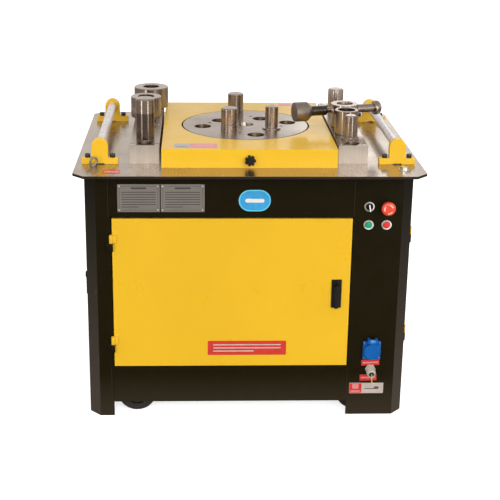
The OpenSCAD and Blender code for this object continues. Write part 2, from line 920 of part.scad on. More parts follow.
// Panel socket: flange, collar, barrel behind the sheet, and the lid's hinge ears with their pin
module socket_body() {
    color("#0f62b4") {
        difference() {
            union() {
                translate([socket_x - 26, face_y - 6, socket_z - 29]) cube([52, 6, 57]);
                on_front(socket_x, socket_z) cylinder(r = 23, h = 14);
                translate([0, 40, 0]) on_front(socket_x, socket_z) cylinder(r = 19.8, h = 41);
                for (side = [-1, 1])
                    translate([socket_x + side * 11 - 3, face_y - 22, socket_z + 27])
                        cube([6, 17, 13]);
            }
            on_front(socket_x, socket_z) translate([0, 0, -18]) cylinder(r = 15, h = 40);
            translate([socket_x - 20, face_y - 17, socket_z + 33]) rotate([0, 90, 0])
                cylinder(r = 2, h = 40);
        }
        translate([socket_x - 14, face_y - 17, socket_z + 33]) rotate([0, 90, 0])
            cylinder(r = 1.98, h = 28);
    }
}

// Spring lid of the socket, hinged above it
module socket_lid() {
    color("#0f6cc4") {
        on_front(socket_x, socket_z) translate([0, 0, 14.3]) chamfered_bar(24.5, 6, 2);
        difference() {
            union() {
                translate([socket_x - 7.5, face_y - 20.3, socket_z + 20]) cube([15, 6, 13]);
                translate([socket_x - 7.5, face_y - 17, socket_z + 33]) rotate([0, 90, 0])
                    cylinder(r = 5, h = 15);
            }
            translate([socket_x - 20, face_y - 17, socket_z + 33]) rotate([0, 90, 0])
                cylinder(r = 2.05, h = 40);
        }
    }
}

// Gland with its lock nut on the sheet and a body that tilts down a little
module cable_gland() {
    nose = lead_points[0];
    nut_z = nose[2] + 0.2 * (face_y - nose[1]);
    color("#e9e6df") {
        on_front(nose[0], nut_z) {
            cylinder(r = 16, h = 5, $fn = 6);
            translate([0, 0, -16]) cylinder(r = 9.9, h = 16.5);
        }
        translate(nose) rotate([90 + gland_tilt, 0, 0]) translate([0, 0, -24.5])
            rotate_extrude() polygon([[0, 0], [13.5, 0], [13.5, 16], [11, 24.5], [0, 24.5]]);
    }
}

// Direction of the lead at a point of its route
function lead_direction(i) =
    let (last = len(lead_points) - 1,
         step = lead_points[min(i + 1, last)] - lead_points[i == 0 ? 0 : i - 1])
    step / norm(step);

// Ring of points around the route at one of its points
function lead_ring(i) =
    let (along = lead_direction(i),
         side_raw = cross(along, [0.3, 0, 0.1] + [0, 0, 1] * abs(along[0])),
         side = side_raw / norm(side_raw),
         up = cross(side, along))
    [for (k = [0:lead_sides - 1])
        lead_points[i] + lead_r * (cos(360 * k / lead_sides) * side + sin(360 * k / lead_sides) * up)];

// Short end of the earth lead, swept along its route
module earth_lead() {
    rings = len(lead_points);
    points = [for (i = [0:rings - 1]) each lead_ring(i)];
    sides = [for (i = [0:rings - 2], k = [0:lead_sides - 1])
        let (next = (k + 1) % lead_sides)
        [i * lead_sides + k, i * lead_sides + next, (i + 1) * lead_sides + next,
         (i + 1) * lead_sides + k]];
    start = [for (k = [0:lead_sides - 1]) lead_sides - 1 - k];
    end = [for (k = [0:lead_sides - 1]) (rings - 1) * lead_sides + k];
    color("#9ab23c") polyhedron(points = points, faces = concat(sides, [start], [end]),
                                convexity = 4);
}

// ---- Drive ----

// Angle between an involute's start and its point at radius r
function involute_angle(r, base_r) =
    let (a = acos(min(1, base_r / r))) tan(a) * 180 / PI - a;

// Half of a tooth's angle at radius r
function half_tooth(m, z, r) =
    let (pitch_r = m * z / 2, base_r = pitch_r * cos(pressure_angle))
    90 / z - backlash / 2 / pitch_r * 180 / PI
    + involute_angle(pitch_r, base_r) - involute_angle(max(r, base_r), base_r);

// Outline of a spur gear with a tooth in the middle at the angle phase
function gear_outline(m, z, phase) =
    let (pitch_r = m * z / 2,
         radii = [pitch_r - 1.25 * m, pitch_r - 0.5 * m, pitch_r + 0.2 * m, pitch_r + 0.85 * m])
    [for (k = [0:z - 1]) let (mid = phase + 360 * k / z) each concat(
        [for (r = radii) let (a = mid - half_tooth(m, z, r)) r * [cos(a), sin(a)]],
        [for (i = [3:-1:0]) let (r = radii[i], a = mid + half_tooth(m, z, r))
            r * [cos(a), sin(a)]])];

module gear(m, z, phase, w, bore) {
    difference() {
        linear_extrude(w) polygon(gear_outline(m, z, phase));
        if (bore > 0) translate([0, 0, -1]) cylinder(r = bore, h = w + 2);
    }
}

module output_gear() {
    color(dark_steel) translate([0, disc_y, output_low_z]) {
        gear(last_module, gear_teeth, 0, output_w, 60);
        translate([0, 0, -12]) tube(61, shaft_r + 0.02, output_w + 24);
    }
}

// Large gear of the first stage and pinion of the last stage on one shaft
module middle_gears() {
    color(dark_steel) translate([middle_x, disc_y, 0]) {
        translate([0, 0, box_low_z + 1]) cylinder(r = middle_shaft_r, h = box_high_z - box_low_z - 2);
        translate([0, 0, first_low_z]) gear(first_module, gear_teeth, 0, first_w, 0);
        translate([0, 0, output_low_z - 3])
            gear(last_module, pinion_teeth, 180 / pinion_teeth, output_w + 6, 0);
    }
}

// Input shaft: pinion inside the gearbox and the large pulley below it
module input_shaft() {
    color(dark_steel) translate([input_x, input_y, 0]) {
        translate([0, 0, pulley_low_z - 3]) cylinder(r = input_shaft_r, h = 216 + 8);
        translate([0, 0, first_low_z - 3])
            gear(first_module, pinion_teeth, 0, first_w + 6, 0);
        translate([0, 0, pulley_low_z]) grooved_pulley(large_pulley_r);
    }
}

// Pulley rim with a groove for each belt
module grooved_pulley(pitch_r) {
    deep = pitch_r - 5.5;
    rim = pitch_r + 4;
    rotate_extrude($fn = 96)
        polygon([[0, 0], [rim, 0], [rim, 7], [deep, 7], [deep, 18], [rim, 18], [rim, 21],
                 [deep, 21], [deep, 32], [rim, 32], [rim, pulley_w], [0, pulley_w]]);
}

module motor_pulley() {
    color(dark_steel) translate([motor_x, input_y, 0]) {
        translate([0, 0, motor_flange_z + 1])
            cylinder(r = motor_shaft_r, h = pulley_low_z + pulley_w + 3 - motor_flange_z);
        translate([0, 0, pulley_low_z]) grooved_pulley(small_pulley_r);
    }
}

// One flat belt loop round both pulleys, grown outwards by the given amount
module belt_loop(grow) {
    hull() {
        translate([motor_x, input_y]) circle(r = small_pulley_r + grow, $fn = 48);
        translate([input_x, input_y]) circle(r = large_pulley_r + grow, $fn = 72);
    }
}

module v_belts() {
    color("#1c1b1a") for (z = belt_z)
        translate([0, 0, z]) linear_extrude(belt_w) difference() {
            belt_loop(4);
            belt_loop(-4);
        }
}

// Shaft places, shaft radii and bearing seat radii of the gearbox
shaft_rows = [[[0, disc_y], shaft_r, main_bearing_r],
              [[middle_x, disc_y], middle_shaft_r, middle_bearing_r],
              [[input_x, input_y], input_shaft_r, input_bearing_r]];

// Welded gearbox tank and its bolted top plate with four mounting pads
module gearbox_housing() {
    top_z = box_high_z - box_floor;
    color("#4d5a66") {
        difference() {
            box([box_x0, box_y0, box_low_z], [box_x1, box_y1, top_z]);
            box([box_x0 + box_wall, box_y0 + box_wall, box_low_z + box_floor],
                [box_x1 - box_wall, box_y1 - box_wall, top_z + 1]);
            for (row = shaft_rows)
                translate([row[0][0], row[0][1], box_low_z - 1]) cylinder(r = row[2], h = 20);
        }
        difference() {
            union() {
                box([box_x0, box_y0, top_z], [box_x1, box_y1, box_high_z]);
                for (x = [box_x0 + 30, box_x1 - 30], y = [box_y0 + 30, box_y1 - 30])
                    translate([x, y, box_high_z])
                        cylinder(r = 20, h = under_table_z - box_high_z);
            }
            for (row = shaft_rows)
                translate([row[0][0], row[0][1], top_z - 1]) cylinder(r = row[2], h = 20);
        }
    }
}

module shaft_bearings() {
    color(zinc) for (row = shaft_rows, z = [box_low_z, box_high_z - box_floor])
        translate([row[0][0], row[0][1], z]) tube(row[2] - 0.02, row[1] + fit, box_floor);
}

// Upright motor: finned body, fan cowl below, flange on top, terminal box in front
module motor() {
    fin_count = 28;
    body_r = 86;
    color("#5a6a78") translate([motor_x, input_y, 0]) {
        difference() {
            union() {
                translate([0, 0, 190]) cylinder(r = body_r, h = 285);
                translate([0, 0, motor_flange_z - 14]) cylinder(r = 122, h = 14);
                translate([0, 0, 150]) chamfered_fan_cowl(96, 52);
                for (k = [0:fin_count - 1])
                    rotate([0, 0, k * 360 / fin_count])
                        translate([body_r - 2, -1.5, 215]) cube([11, 3, 235]);
                translate([-45, -body_r - 42, 300]) cube([90, 60, 100]);
            }
            translate([0, 0, motor_flange_z - 20])
                cylinder(r = motor_shaft_r + 4, h = 30);
        }
    }
}

module chamfered_fan_cowl(r, h) {
    rotate_extrude() polygon([[0, 0], [r - 14, 0], [r, 14], [r, h], [0, h]]);
}

// Plate above the motor's flange, hung from the table by four square bars
module motor_bracket() {
    plate_t = 10;
    color("#4d5a66") {
        difference() {
            box([-352, 17, motor_flange_z], [-105, 267, motor_flange_z + plate_t]);
            translate([motor_x, input_y, motor_flange_z - 1]) cylinder(r = 30, h = plate_t + 2);
        }
        for (x = [-345, -228], y = [20, 244])
            box([x, y, motor_flange_z + plate_t], [x + 20, y + 20, under_table_z]);
    }
}

module wheel_front_left() {
    wheel(-wheel_x, -wheel_y);
}

module wheel_front_right() {
    wheel(wheel_x, -wheel_y);
}

module wheel_rear_left() {
    wheel(-wheel_x, wheel_y);
}

module wheel_rear_right() {
    wheel(wheel_x, wheel_y);
}

corner_posts();
control_column();
cabinet_rails();
cabinet_panels();
table_plate();
deck_cover();
pin_bar_left();
pin_bar_right();
table_hardware();
eye_bolts();
roller_brackets();
nameplates();
hinge_knuckles();
button_bezels();
electrical_box();
socket_body();
cable_gland();
earth_lead();
wheel_brackets();
gearbox_housing();
shaft_bearings();
motor();
motor_bracket();
v_belts();
bending_disc();
main_shaft();
output_gear();
middle_gears();
input_shaft();
motor_pulley();
bend_pin_front();
bend_pin_back();
bend_pin_small();
stop_pin_left();
sleeve_left_middle();
sleeve_left_back();
stop_pin_right_front();
sleeve_right();
stop_holder();
stop_pad();
stop_spindle();
stop_pin_right_back();
roller_left();
roller_right();
cover_knob();
front_door();
left_door();
right_door();
front_latch();
left_latch();
right_latch();
selector_knob();
estop_button();
start_button();
stop_button();
socket_lid();
wheel_front_left();
wheel_front_right();
wheel_rear_left();
wheel_rear_right();
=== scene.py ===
"""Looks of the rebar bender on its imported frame: materials, detailed pieces, floor, lights and camera."""

import json
import math
import random

import bmesh
import bpy
from mathutils import Matrix, Vector


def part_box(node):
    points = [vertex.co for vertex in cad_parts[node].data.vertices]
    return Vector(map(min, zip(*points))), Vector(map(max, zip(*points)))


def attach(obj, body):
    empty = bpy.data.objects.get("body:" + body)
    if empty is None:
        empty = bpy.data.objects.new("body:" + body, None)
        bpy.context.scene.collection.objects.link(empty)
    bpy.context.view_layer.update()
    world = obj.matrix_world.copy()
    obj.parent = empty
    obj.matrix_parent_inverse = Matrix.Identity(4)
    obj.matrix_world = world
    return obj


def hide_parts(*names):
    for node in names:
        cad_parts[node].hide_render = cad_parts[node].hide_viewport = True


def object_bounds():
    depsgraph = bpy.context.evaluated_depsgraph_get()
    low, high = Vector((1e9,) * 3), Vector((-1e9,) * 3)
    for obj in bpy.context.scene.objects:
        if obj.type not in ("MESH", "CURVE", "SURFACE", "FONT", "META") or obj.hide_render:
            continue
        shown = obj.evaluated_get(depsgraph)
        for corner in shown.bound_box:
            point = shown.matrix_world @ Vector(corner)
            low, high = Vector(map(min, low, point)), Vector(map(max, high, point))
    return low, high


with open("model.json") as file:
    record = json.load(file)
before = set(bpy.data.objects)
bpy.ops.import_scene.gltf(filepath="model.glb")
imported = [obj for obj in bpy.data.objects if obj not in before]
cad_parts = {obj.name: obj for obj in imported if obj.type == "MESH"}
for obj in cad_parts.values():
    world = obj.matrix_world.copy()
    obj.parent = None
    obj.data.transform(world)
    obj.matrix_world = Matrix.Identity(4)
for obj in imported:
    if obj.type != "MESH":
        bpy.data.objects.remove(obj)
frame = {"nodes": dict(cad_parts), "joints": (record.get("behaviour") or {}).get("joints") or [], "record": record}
CAD_LOW, CAD_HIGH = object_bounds()
NODES = frame["nodes"]
RECORD = frame["record"]
SLOT_OF = {s["node"]: s["material_slot"] for s in RECORD["subparts"]}
BODY_OF = {n: b for b, ns in RECORD["behaviour"]["bodies"].items() for n in ns}
MM = 0.001
ROOT_BODY = "machine_frame"


# ---------------------------------------------------------------- camera and cord

FOCAL_MM = 80.43
SENSOR_MM = 36
SHIFT_X = 0.0422
SHIFT_Y = -0.0984
CAMERA_AT = (-0.1582, -3.3169, 1.6009)
PITCH, YAW, ROLL = (math.radians(a) for a in (17.398, 1.917, 0.590))


def make_camera():
    data = bpy.data.cameras.new("camera")
    data.sensor_width = SENSOR_MM
    data.lens = FOCAL_MM
    data.shift_x = SHIFT_X
    data.shift_y = SHIFT_Y
    data.clip_end = 100
    forward = Vector((math.sin(YAW) * math.cos(PITCH), math.cos(YAW) * math.cos(PITCH), -math.sin(PITCH)))
    right = Vector((math.cos(YAW), -math.sin(YAW), 0))
    up = right.cross(forward)
    rolled_right = right * math.cos(ROLL) + up * math.sin(ROLL)
    rolled_up = up * math.cos(ROLL) - right * math.sin(ROLL)
    camera = bpy.data.objects.new("camera", data)
    bpy.context.scene.collection.objects.link(camera)
    turn = Matrix((rolled_right, rolled_up, -forward)).transposed().to_4x4()
    camera.matrix_world = Matrix.Translation(CAMERA_AT) @ turn
    bpy.context.scene.camera = camera


make_camera()

# The earth lead's middle line, in millimetres, from the gland's nose to its bare end
LEAD_POINTS = [(363, -366, 143), (363, -369, 142.4), (363, -372, 141), (363, -374, 138.5),
               (363, -375, 135.5), (363, -375, 132.5), (363, -375, 129.5), (363, -375, 126.5),
               (363.5, -375, 123.5), (365, -375, 121), (367, -375, 119), (370, -375, 118),
               (373, -375, 118), (376, -375, 118.5), (379, -375, 119), (382, -375, 119.5)]
LEAD_DIAMETER = 0.003


# ---------------------------------------------------------------- materials


class Shader:
    """A Principled material with short calls for the texture nodes used here."""

    def __init__(self, name):
        self.material = bpy.data.materials.new(name)
        self.material.use_nodes = True
        self.tree = self.material.node_tree
        self.bsdf = self.tree.nodes["Principled BSDF"]
        self.coords = self.node("ShaderNodeTexCoord").outputs["Object"]

    def node(self, kind, **settings):
        made = self.tree.nodes.new(kind)
        for key, value in settings.items():
            setattr(made, key, value)
        return made

    def link(self, output, socket):
        self.tree.links.new(output, socket)
        return self

    def set(self, **values):
        for key, value in values.items():
            self.bsdf.inputs[key.replace("_", " ")].default_value = value
        return self

    def scaled(self, scale, shift=(0, 0, 0)):
        mapping = self.node("ShaderNodeMapping")
        mapping.inputs["Scale"].default_value = scale
        mapping.inputs["Location"].default_value = shift
        self.link(self.coords, mapping.inputs["Vector"])
        return mapping.outputs["Vector"]

    def noise(self, scale, detail=3.0, roughness=0.5, vector=None):
        made = self.node("ShaderNodeTexNoise")
        made.inputs["Scale"].default_value = scale
        made.inputs["Detail"].default_value = detail
        made.inputs["Roughness"].default_value = roughness
        self.link(self.coords if vector is None else vector, made.inputs["Vector"])
        return made.outputs["Fac"]

    def span(self, value, low, high, to_low, to_high):
        made = self.node("ShaderNodeMapRange")
        for key, number in zip(("From Min", "From Max", "To Min", "To Max"), (low, high, to_low, to_high)):
            made.inputs[key].default_value = number
        self.link(value, made.inputs["Value"])
        return made.outputs["Result"]

    def ramp(self, value, *stops):
        made = self.node("ShaderNodeValToRGB")
        elements = made.color_ramp.elements
        for k, (place, color) in enumerate(stops):
            element = elements[k] if k < 2 else elements.new(place)
            element.position = place
            element.color = (*color, 1) if len(color) == 3 else color
        self.link(value, made.inputs["Fac"])
        return made.outputs["Color"]

    def mix(self, factor, a, b):
        made = self.node("ShaderNodeMix", data_type="RGBA")
        self.link(factor, made.inputs[0])
        for socket, value in ((made.inputs[6], a), (made.inputs[7], b)):
            if isinstance(value, tuple):
                socket.default_value = (*value, 1)
            else:
                self.link(value, socket)
        return made.outputs[2]

    def math(self, operation, a, b):
        made = self.node("ShaderNodeMath", operation=operation, use_clamp=True)
        for socket, value in zip(made.inputs, (a, b)):
            if isinstance(value, (int, float)):
                socket.default_value = value
            else:
                self.link(value, socket)
        return made.outputs[0]

    def edges(self, radius=0.0015, sharpness=7.0):
        """0 on flats, 1 along worn outer edges."""
        bevel = self.node("ShaderNodeBevel", samples=4)
        bevel.inputs["Radius"].default_value = radius
        geometry = self.node("ShaderNodeNewGeometry")
        dot = self.node("ShaderNodeVectorMath", operation="DOT_PRODUCT")
        self.link(bevel.outputs[0], dot.inputs[0])
        self.link(geometry.outputs["Normal"], dot.inputs[1])
        bend = self.math("SUBTRACT", 1.0, dot.outputs["Value"])
        worn = self.noise(90.0, 4.0, 0.7)
        return self.math("MULTIPLY", self.math("MULTIPLY", bend, sharpness),
                         self.span(worn, 0.42, 0.62, 0.0, 1.0))

    def bump(self, height, strength, distance):
        made = self.node("ShaderNodeBump")
        made.inputs["Strength"].default_value = strength
        made.inputs["Distance"].default_value = distance
        self.link(height, made.inputs["Height"])
        if self.bsdf.inputs["Normal"].is_linked:
            self.link(self.bsdf.inputs["Normal"].links[0].from_socket, made.inputs["Normal"])
        self.link(made.outputs["Normal"], self.bsdf.inputs["Normal"])
        return self


def height_of(s):
    """Height above the origin of the piece: the floor on the cabinet, the foot on an upright pin."""
    split = s.node("ShaderNodeSeparateXYZ")
    s.link(s.coords, split.inputs[0])
    return split.outputs["Z"]


def darker(color, factor):
    return tuple(c * factor for c in color)


def enamel(name, color, rough, coat, wear=0.5, wear_color=(0.30, 0.28, 0.25), peel=0.10, gloss=0.5,
           dirt=0.10, foot=None):
    """Sprayed enamel: slight shade drift, dust, orange peel and chipped edges."""
    s = Shader(name)
    drift = s.ramp(s.noise(2.3, 4.0), (0.3, darker(color, 0.93)),
                   (0.7, tuple(min(1, c * 1.05) for c in color)))
    if foot:
        drift = s.mix(s.span(height_of(s), 0.02, 0.14, 1.0, 0.0), drift, foot)
    dust = s.span(s.noise(38.0, 6.0, 0.65), 0.50, 0.80, 0.0, dirt)
    dusty = s.mix(dust, drift, (0.42, 0.38, 0.33))
    chips = s.math("MULTIPLY", s.edges(), wear)
    s.link(s.mix(chips, dusty, wear_color), s.bsdf.inputs["Base Color"])
    s.link(s.span(s.noise(11.0, 5.0, 0.6), 0.3, 0.7, rough * 0.82, rough * 1.22), s.bsdf.inputs["Roughness"])
    s.set(Coat_Weight=coat, Coat_Roughness=0.10, Specular_IOR_Level=gloss)
    s.bump(s.noise(420.0, 2.0), peel, 0.0004)
    return s.material


def corner_sheen_enamel(name, top, bottom, rough):
    """Black enamel of the slanting corners: lighter than the flat faces, a painted reflection of the sides,
    lighter still towards the floor, with fine scratches and edge wear.
    """
    s = Shader(name)
    # Painted reflection: the slanting faces take a lighter tone than the flat enamel, lighter still near the
    # floor.
    fade = s.mix(s.span(height_of(s), 0.05, 0.72, 0.0, 1.0), bottom, top)
    speck = s.noise(1.0, 6.0, 0.7, s.scaled((160, 160, 34)))
    marks = s.mix(s.span(speck, 0.66, 0.74, 0.0, 0.5), fade, (0.34, 0.30, 0.25))
    s.link(s.mix(s.math("MULTIPLY", s.edges(), 0.25), marks, (0.24, 0.21, 0.17)), s.bsdf.inputs["Base Color"])
    s.link(s.span(s.noise(14.0, 5.0, 0.6), 0.3, 0.7, rough * 0.85, rough * 1.2), s.bsdf.inputs["Roughness"])
    s.set(Specular_IOR_Level=0.14)
    s.bump(s.noise(420.0, 2.0), 0.06, 0.0003)
    return s.material


def steel(name, color, rough, lines=(3, 3, 260), depth=0.25, smudge=0.12, tangent=None, anisotropic=0.0,
          contrast=1.0, dull_below=None):
    """Bare steel: machining lines along the directions with a small scale, oil smudges, worn bright edges."""
    s = Shader(name)
    grain = s.noise(1.0, 4.0, 0.6, s.scaled(lines))
    cloud = s.noise(7.0, 5.0, 0.6)
    base = s.ramp(grain, (0.25, darker(color, 1 - 0.16 * contrast)),
                  (0.75, tuple(min(1, c * (1 + 0.10 * contrast)) for c in color)))
    if dull_below:
        base = s.mix(s.span(height_of(s), dull_below, dull_below + 0.004, 1.0, 0.0), base,
                     darker(color, 0.42))
    stained = s.mix(s.span(cloud, 0.48, 0.78, 0.0, 0.55), base, darker(color, 0.70))
    s.link(s.mix(s.math("MULTIPLY", s.edges(0.001, 6.0), 0.5), stained, (0.82, 0.80, 0.77)),
           s.bsdf.inputs["Base Color"])
    mottled = s.math("ADD", s.span(cloud, 0.35, 0.75, rough * 0.8, rough * 0.8 + smudge),
                     s.span(grain, 0.3, 0.7, 0.0, 0.05))
    s.link(mottled, s.bsdf.inputs["Roughness"])
    s.set(Metallic=1.0, Anisotropic=anisotropic, Anisotropic_Rotation=0.25 if tangent else 0.0)
    if tangent:
        turned = s.node("ShaderNodeTangent", direction_type="RADIAL", axis=tangent)
        s.link(turned.outputs[0], s.bsdf.inputs["Tangent"])
    s.bump(grain, depth, 0.00012)
    return s.material


def disc_steel(name, color, rough, centre):
    """Faced steel: fine rings round the disc's centre."""
    s = Shader(name)
    shifted = s.scaled((1, 1, 0), (-centre[0], -centre[1], 0))
    length = s.node("ShaderNodeVectorMath", operation="LENGTH")
    s.link(shifted, length.inputs[0])
    combine = s.node("ShaderNodeCombineXYZ")
    s.link(length.outputs["Value"], combine.inputs["X"])
    rings = s.noise(520.0, 3.0, 0.6, combine.outputs["Vector"])
    cloud = s.noise(9.0, 5.0, 0.6)
    base = s.ramp(rings, (0.3, darker(color, 0.86)), (0.7, tuple(min(1, c * 1.07) for c in color)))
    stained = s.mix(s.span(cloud, 0.5, 0.8, 0.0, 0.5), base, darker(color, 0.66))
    s.link(s.mix(s.math("MULTIPLY", s.edges(0.001, 6.0), 0.5), stained, (0.8, 0.78, 0.75)),
           s.bsdf.inputs["Base Color"])
    s.link(s.span(cloud, 0.3, 0.75, rough * 0.8, rough * 1.3), s.bsdf.inputs["Roughness"])
    s.set(Metallic=1.0)
    s.bump(rings, 0.05, 0.0001)
    return s.material


def moulded(name, color, rough, coat=0.0, grain=260.0, depth=0.12, gloss=0.5):
    """Moulded plastic or rubber: fine skin texture, slight shade drift and handling marks."""
    s = Shader(name)
    drift = s.ramp(s.noise(30.0, 3.0), (0.3, darker(color, 0.85)),
                   (0.7, tuple(min(1, c * 1.12) for c in color)))
    s.link(s.mix(s.math("MULTIPLY", s.edges(0.0008, 4.0), 0.25), drift,
                 tuple(min(1, c * 1.4 + 0.03) for c in color)),
           s.bsdf.inputs["Base Color"])
    s.link(s.span(s.noise(60.0, 4.0), 0.3, 0.7, rough * 0.85, min(1, rough * 1.2)),
           s.bsdf.inputs["Roughness"])
    s.set(Coat_Weight=coat, Coat_Roughness=0.15, Specular_IOR_Level=gloss)
    s.bump(s.noise(grain, 3.0), depth, 0.0003)
    return s.material


def printed(name, color, rough=0.35):
    """Printed film: even ink with faint mottling."""
    s = Shader(name)
    s.link(s.ramp(s.noise(55.0, 4.0), (0.35, darker(color, 0.9)),
                  (0.65, tuple(min(1, c * 1.06) for c in color))),
           s.bsdf.inputs["Base Color"])
    s.link(s.span(s.noise(25.0, 3.0), 0.3, 0.7, rough * 0.8, rough * 1.2), s.bsdf.inputs["Roughness"])
    s.bump(s.noise(300.0, 2.0), 0.06, 0.0002)
    return s.material


DISC_LOW, DISC_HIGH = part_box("bending_disc")
DISC_CENTRE = (DISC_LOW + DISC_HIGH) / 2

STEEL_TONE = (0.46, 0.385, 0.315)
TURNED_TONE = (0.37, 0.300, 0.252)
MATERIALS = {
    "black_enamel": enamel("black_enamel", (0.0090, 0.0066, 0.0010), 0.34, 0.0, 0.08, (0.20, 0.18, 0.15),
                           0.05, 0.10, 0.006, (0.030, 0.023, 0.014)),
    "yellow_enamel": enamel("yellow_enamel", (0.76, 0.455, 0.014), 0.32, 0.15, 0.20, (0.60, 0.40, 0.12),
                            0.02, 0.42, 0.006),
    "ground_steel": steel("ground_steel", STEEL_TONE, 0.24, (160, 5, 5), 0.03, 0.10),
    "hard_steel": steel("hard_steel", TURNED_TONE, 0.22, (4, 4, 420), 0.05, 0.06, "Z", 0.55, 0.4),
    "zinc_steel": steel("zinc_steel", (0.72, 0.71, 0.68), 0.24, (60, 60, 60), 0.12, 0.10),
    "roller_steel": moulded("roller_steel", (0.66, 0.60, 0.59), 0.30, 0.35, 120.0, 0.10),
    "black_oxide": moulded("black_oxide", (0.012, 0.011, 0.010), 0.38, 0.1, 500.0, 0.10),
    "nameplate": steel("nameplate", (0.40, 0.385, 0.36), 0.42, (4, 4, 500), 0.12, 0.08),
    "chrome_ring": steel("chrome_ring", (0.86, 0.85, 0.82), 0.34, (30, 30, 30), 0.04, 0.05),
    "black_plastic": moulded("black_plastic", (0.0060, 0.0052, 0.0042), 0.46, 0.0, 500.0, 0.12, 0.30),
    "green_plastic": moulded("green_plastic", (0.005, 0.33, 0.17), 0.28, 0.3, 200.0, 0.04),
    "red_plastic": moulded("red_plastic", (0.70, 0.030, 0.022), 0.30, 0.3, 200.0, 0.04),
    "blue_plastic": moulded("blue_plastic", (0.001, 0.098, 0.375), 0.42, 0.0, 300.0, 0.06, 0.25),
    "white_plastic": moulded("white_plastic", (0.46, 0.43, 0.37), 0.42, 0.0, 300.0, 0.06),
    "lead_sheath": moulded("lead_sheath", (0.46, 0.50, 0.16), 0.45, 0.0, 400.0, 0.06),
    "tread_rubber": moulded("tread_rubber", (0.016, 0.014, 0.013), 0.62, 0.0, 180.0, 0.25),
    "grey_enamel": enamel("grey_enamel", (0.075, 0.105, 0.130), 0.42, 0.1, 0.25, (0.3, 0.28, 0.26), 0.15),
    "switch_plastic": moulded("switch_plastic", (0.28, 0.30, 0.31), 0.45, 0.0, 300.0, 0.08),
}
DISC_STEEL = disc_steel("disc_steel", (0.40, 0.335, 0.285), 0.27, DISC_CENTRE)
# Dark steel for the hole walls: painted shade inside the holes; the disc's rim takes it too.
HOLE_SHADE_STEEL = steel("hole_shade_steel", (0.115, 0.080, 0.055), 0.34, (4, 4, 300), 0.10, 0.08)
# Lighter black enamel for the slanting corners: painted reflection of the sides, with scratches and more edge
# wear.
CORNER_SHEEN_ENAMEL = corner_sheen_enamel("corner_sheen_enamel", (0.0050, 0.0036, 0.0012), (0.056, 0.046, 0.036), 0.40)
MILLED = steel("milled_steel", (0.60, 0.55, 0.49), 0.42, (240, 240, 6), 0.25, 0.12)
TABLE_EDGE = enamel("table_edge", (0.012, 0.009, 0.004), 0.42, 0.0, 0.10, (0.2, 0.18, 0.15), 0.10, 0.25, 0.02)
ESTOP_RED = moulded("estop_red", (0.70, 0.060, 0.030), 0.34, 0.2, 200.0, 0.04)
ESTOP_MARK = printed("estop_mark", (0.90, 0.50, 0.38))
POINTER_WHITE = printed("pointer_white", (0.80, 0.79, 0.76))
PRINT_WHITE = printed("print_white", (0.80, 0.77, 0.73))
PRINT_FILM = printed("print_film", (0.50, 0.43, 0.40))
PRINT_PALE = printed("print_pale", (0.55, 0.46, 0.44))
PRINT_RED = printed("print_red", (0.58, 0.034, 0.025))
PRINT_PINK = printed("print_pink", (0.70, 0.23, 0.24))
PRINT_GREY = printed("print_grey", (0.42, 0.38, 0.36))
PRINT_DARK = printed("print_dark", (0.060, 0.055, 0.050))
PRINT_BLUE = printed("print_blue", (0.035, 0.33, 0.66))
PRINT_SKY = printed("print_sky", (0.12, 0.60, 0.82))
HINGE_BLUE = moulded("hinge_blue", (0.035, 0.20, 0.50), 0.36, 0.0, 300.0, 0.06)
SEAL_RUBBER = moulded("seal_rubber", (0.010, 0.009, 0.008), 0.6, 0.0, 300.0, 0.1)
TALL_STEEL = steel("tall_pin_steel", TURNED_TONE, 0.22, (4, 4, 420), 0.05, 0.06, "Z", 0.55, 0.4, 0.121)
PAD_STEEL = steel("pad_steel", (0.30, 0.25, 0.21), 0.50, (60, 60, 60), 0.10, 0.10)
EYE_STEEL = steel("eye_steel", (0.34, 0.31, 0.27), 0.26, (60, 60, 60), 0.10, 0.10)
DARK_STEEL = steel("dark_steel", (0.085, 0.070, 0.060), 0.26, (4, 4, 420), 0.20, 0.06, "Z", 0.6)


# ---------------------------------------------------------------- mesh helpers

# Faces of this area and more, in square metres, are shaded flat
LARGE_FACE = 0.0012


def smooth(mesh):
    """Rounded parts shade smoothly; large flats stay flat, so that no shade runs across them."""
    for polygon in mesh.polygons:
        polygon.use_smooth = polygon.area < LARGE_FACE


def soften(obj, width, segments=2, angle=30):
    bevel = obj.modifiers.new("bevel", "BEVEL")
    bevel.width = width
    bevel.segments = segments
    bevel.limit_method = "ANGLE"
    bevel.angle_limit = math.radians(angle)
    bevel.harden_normals = True
    smooth(obj.data)
    return obj


def add_piece(name, mesh, material, body, stands_for=(), at=None):
    obj = bpy.data.objects.new(name, mesh)
    bpy.context.scene.collection.objects.link(obj)
    if at is not None:
        obj.matrix_world = at
    for m in material if isinstance(material, (list, tuple)) else [material]:
        mesh.materials.append(m)
    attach(obj, body)
    if stands_for:
        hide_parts(*stands_for)
    return obj


def from_bmesh(name, bm):
    mesh = bpy.data.meshes.new(name)
    bm.to_mesh(mesh)
    bm.free()
    return mesh


def dress(node, bevel=0.0006, segments=2, material=None, pick=None):
    """Copy of a CAD node with its flats merged and its edges rounded, standing for the node."""
    bm = bmesh.new()
    bm.from_mesh(NODES[node].data)
    bmesh.ops.remove_doubles(bm, verts=bm.verts, dist=2e-6)
    bmesh.ops.dissolve_limit(bm, angle_limit=math.radians(0.5), verts=bm.verts, edges=bm.edges)
    if pick:
        for face in bm.faces:
            face.material_index = pick(face)
    slot = SLOT_OF[node]
    obj = add_piece(node + "_detail", from_bmesh(node + "_detail", bm), material or MATERIALS[slot],
                    BODY_OF[node], [node])
    return soften(obj, bevel, segments)


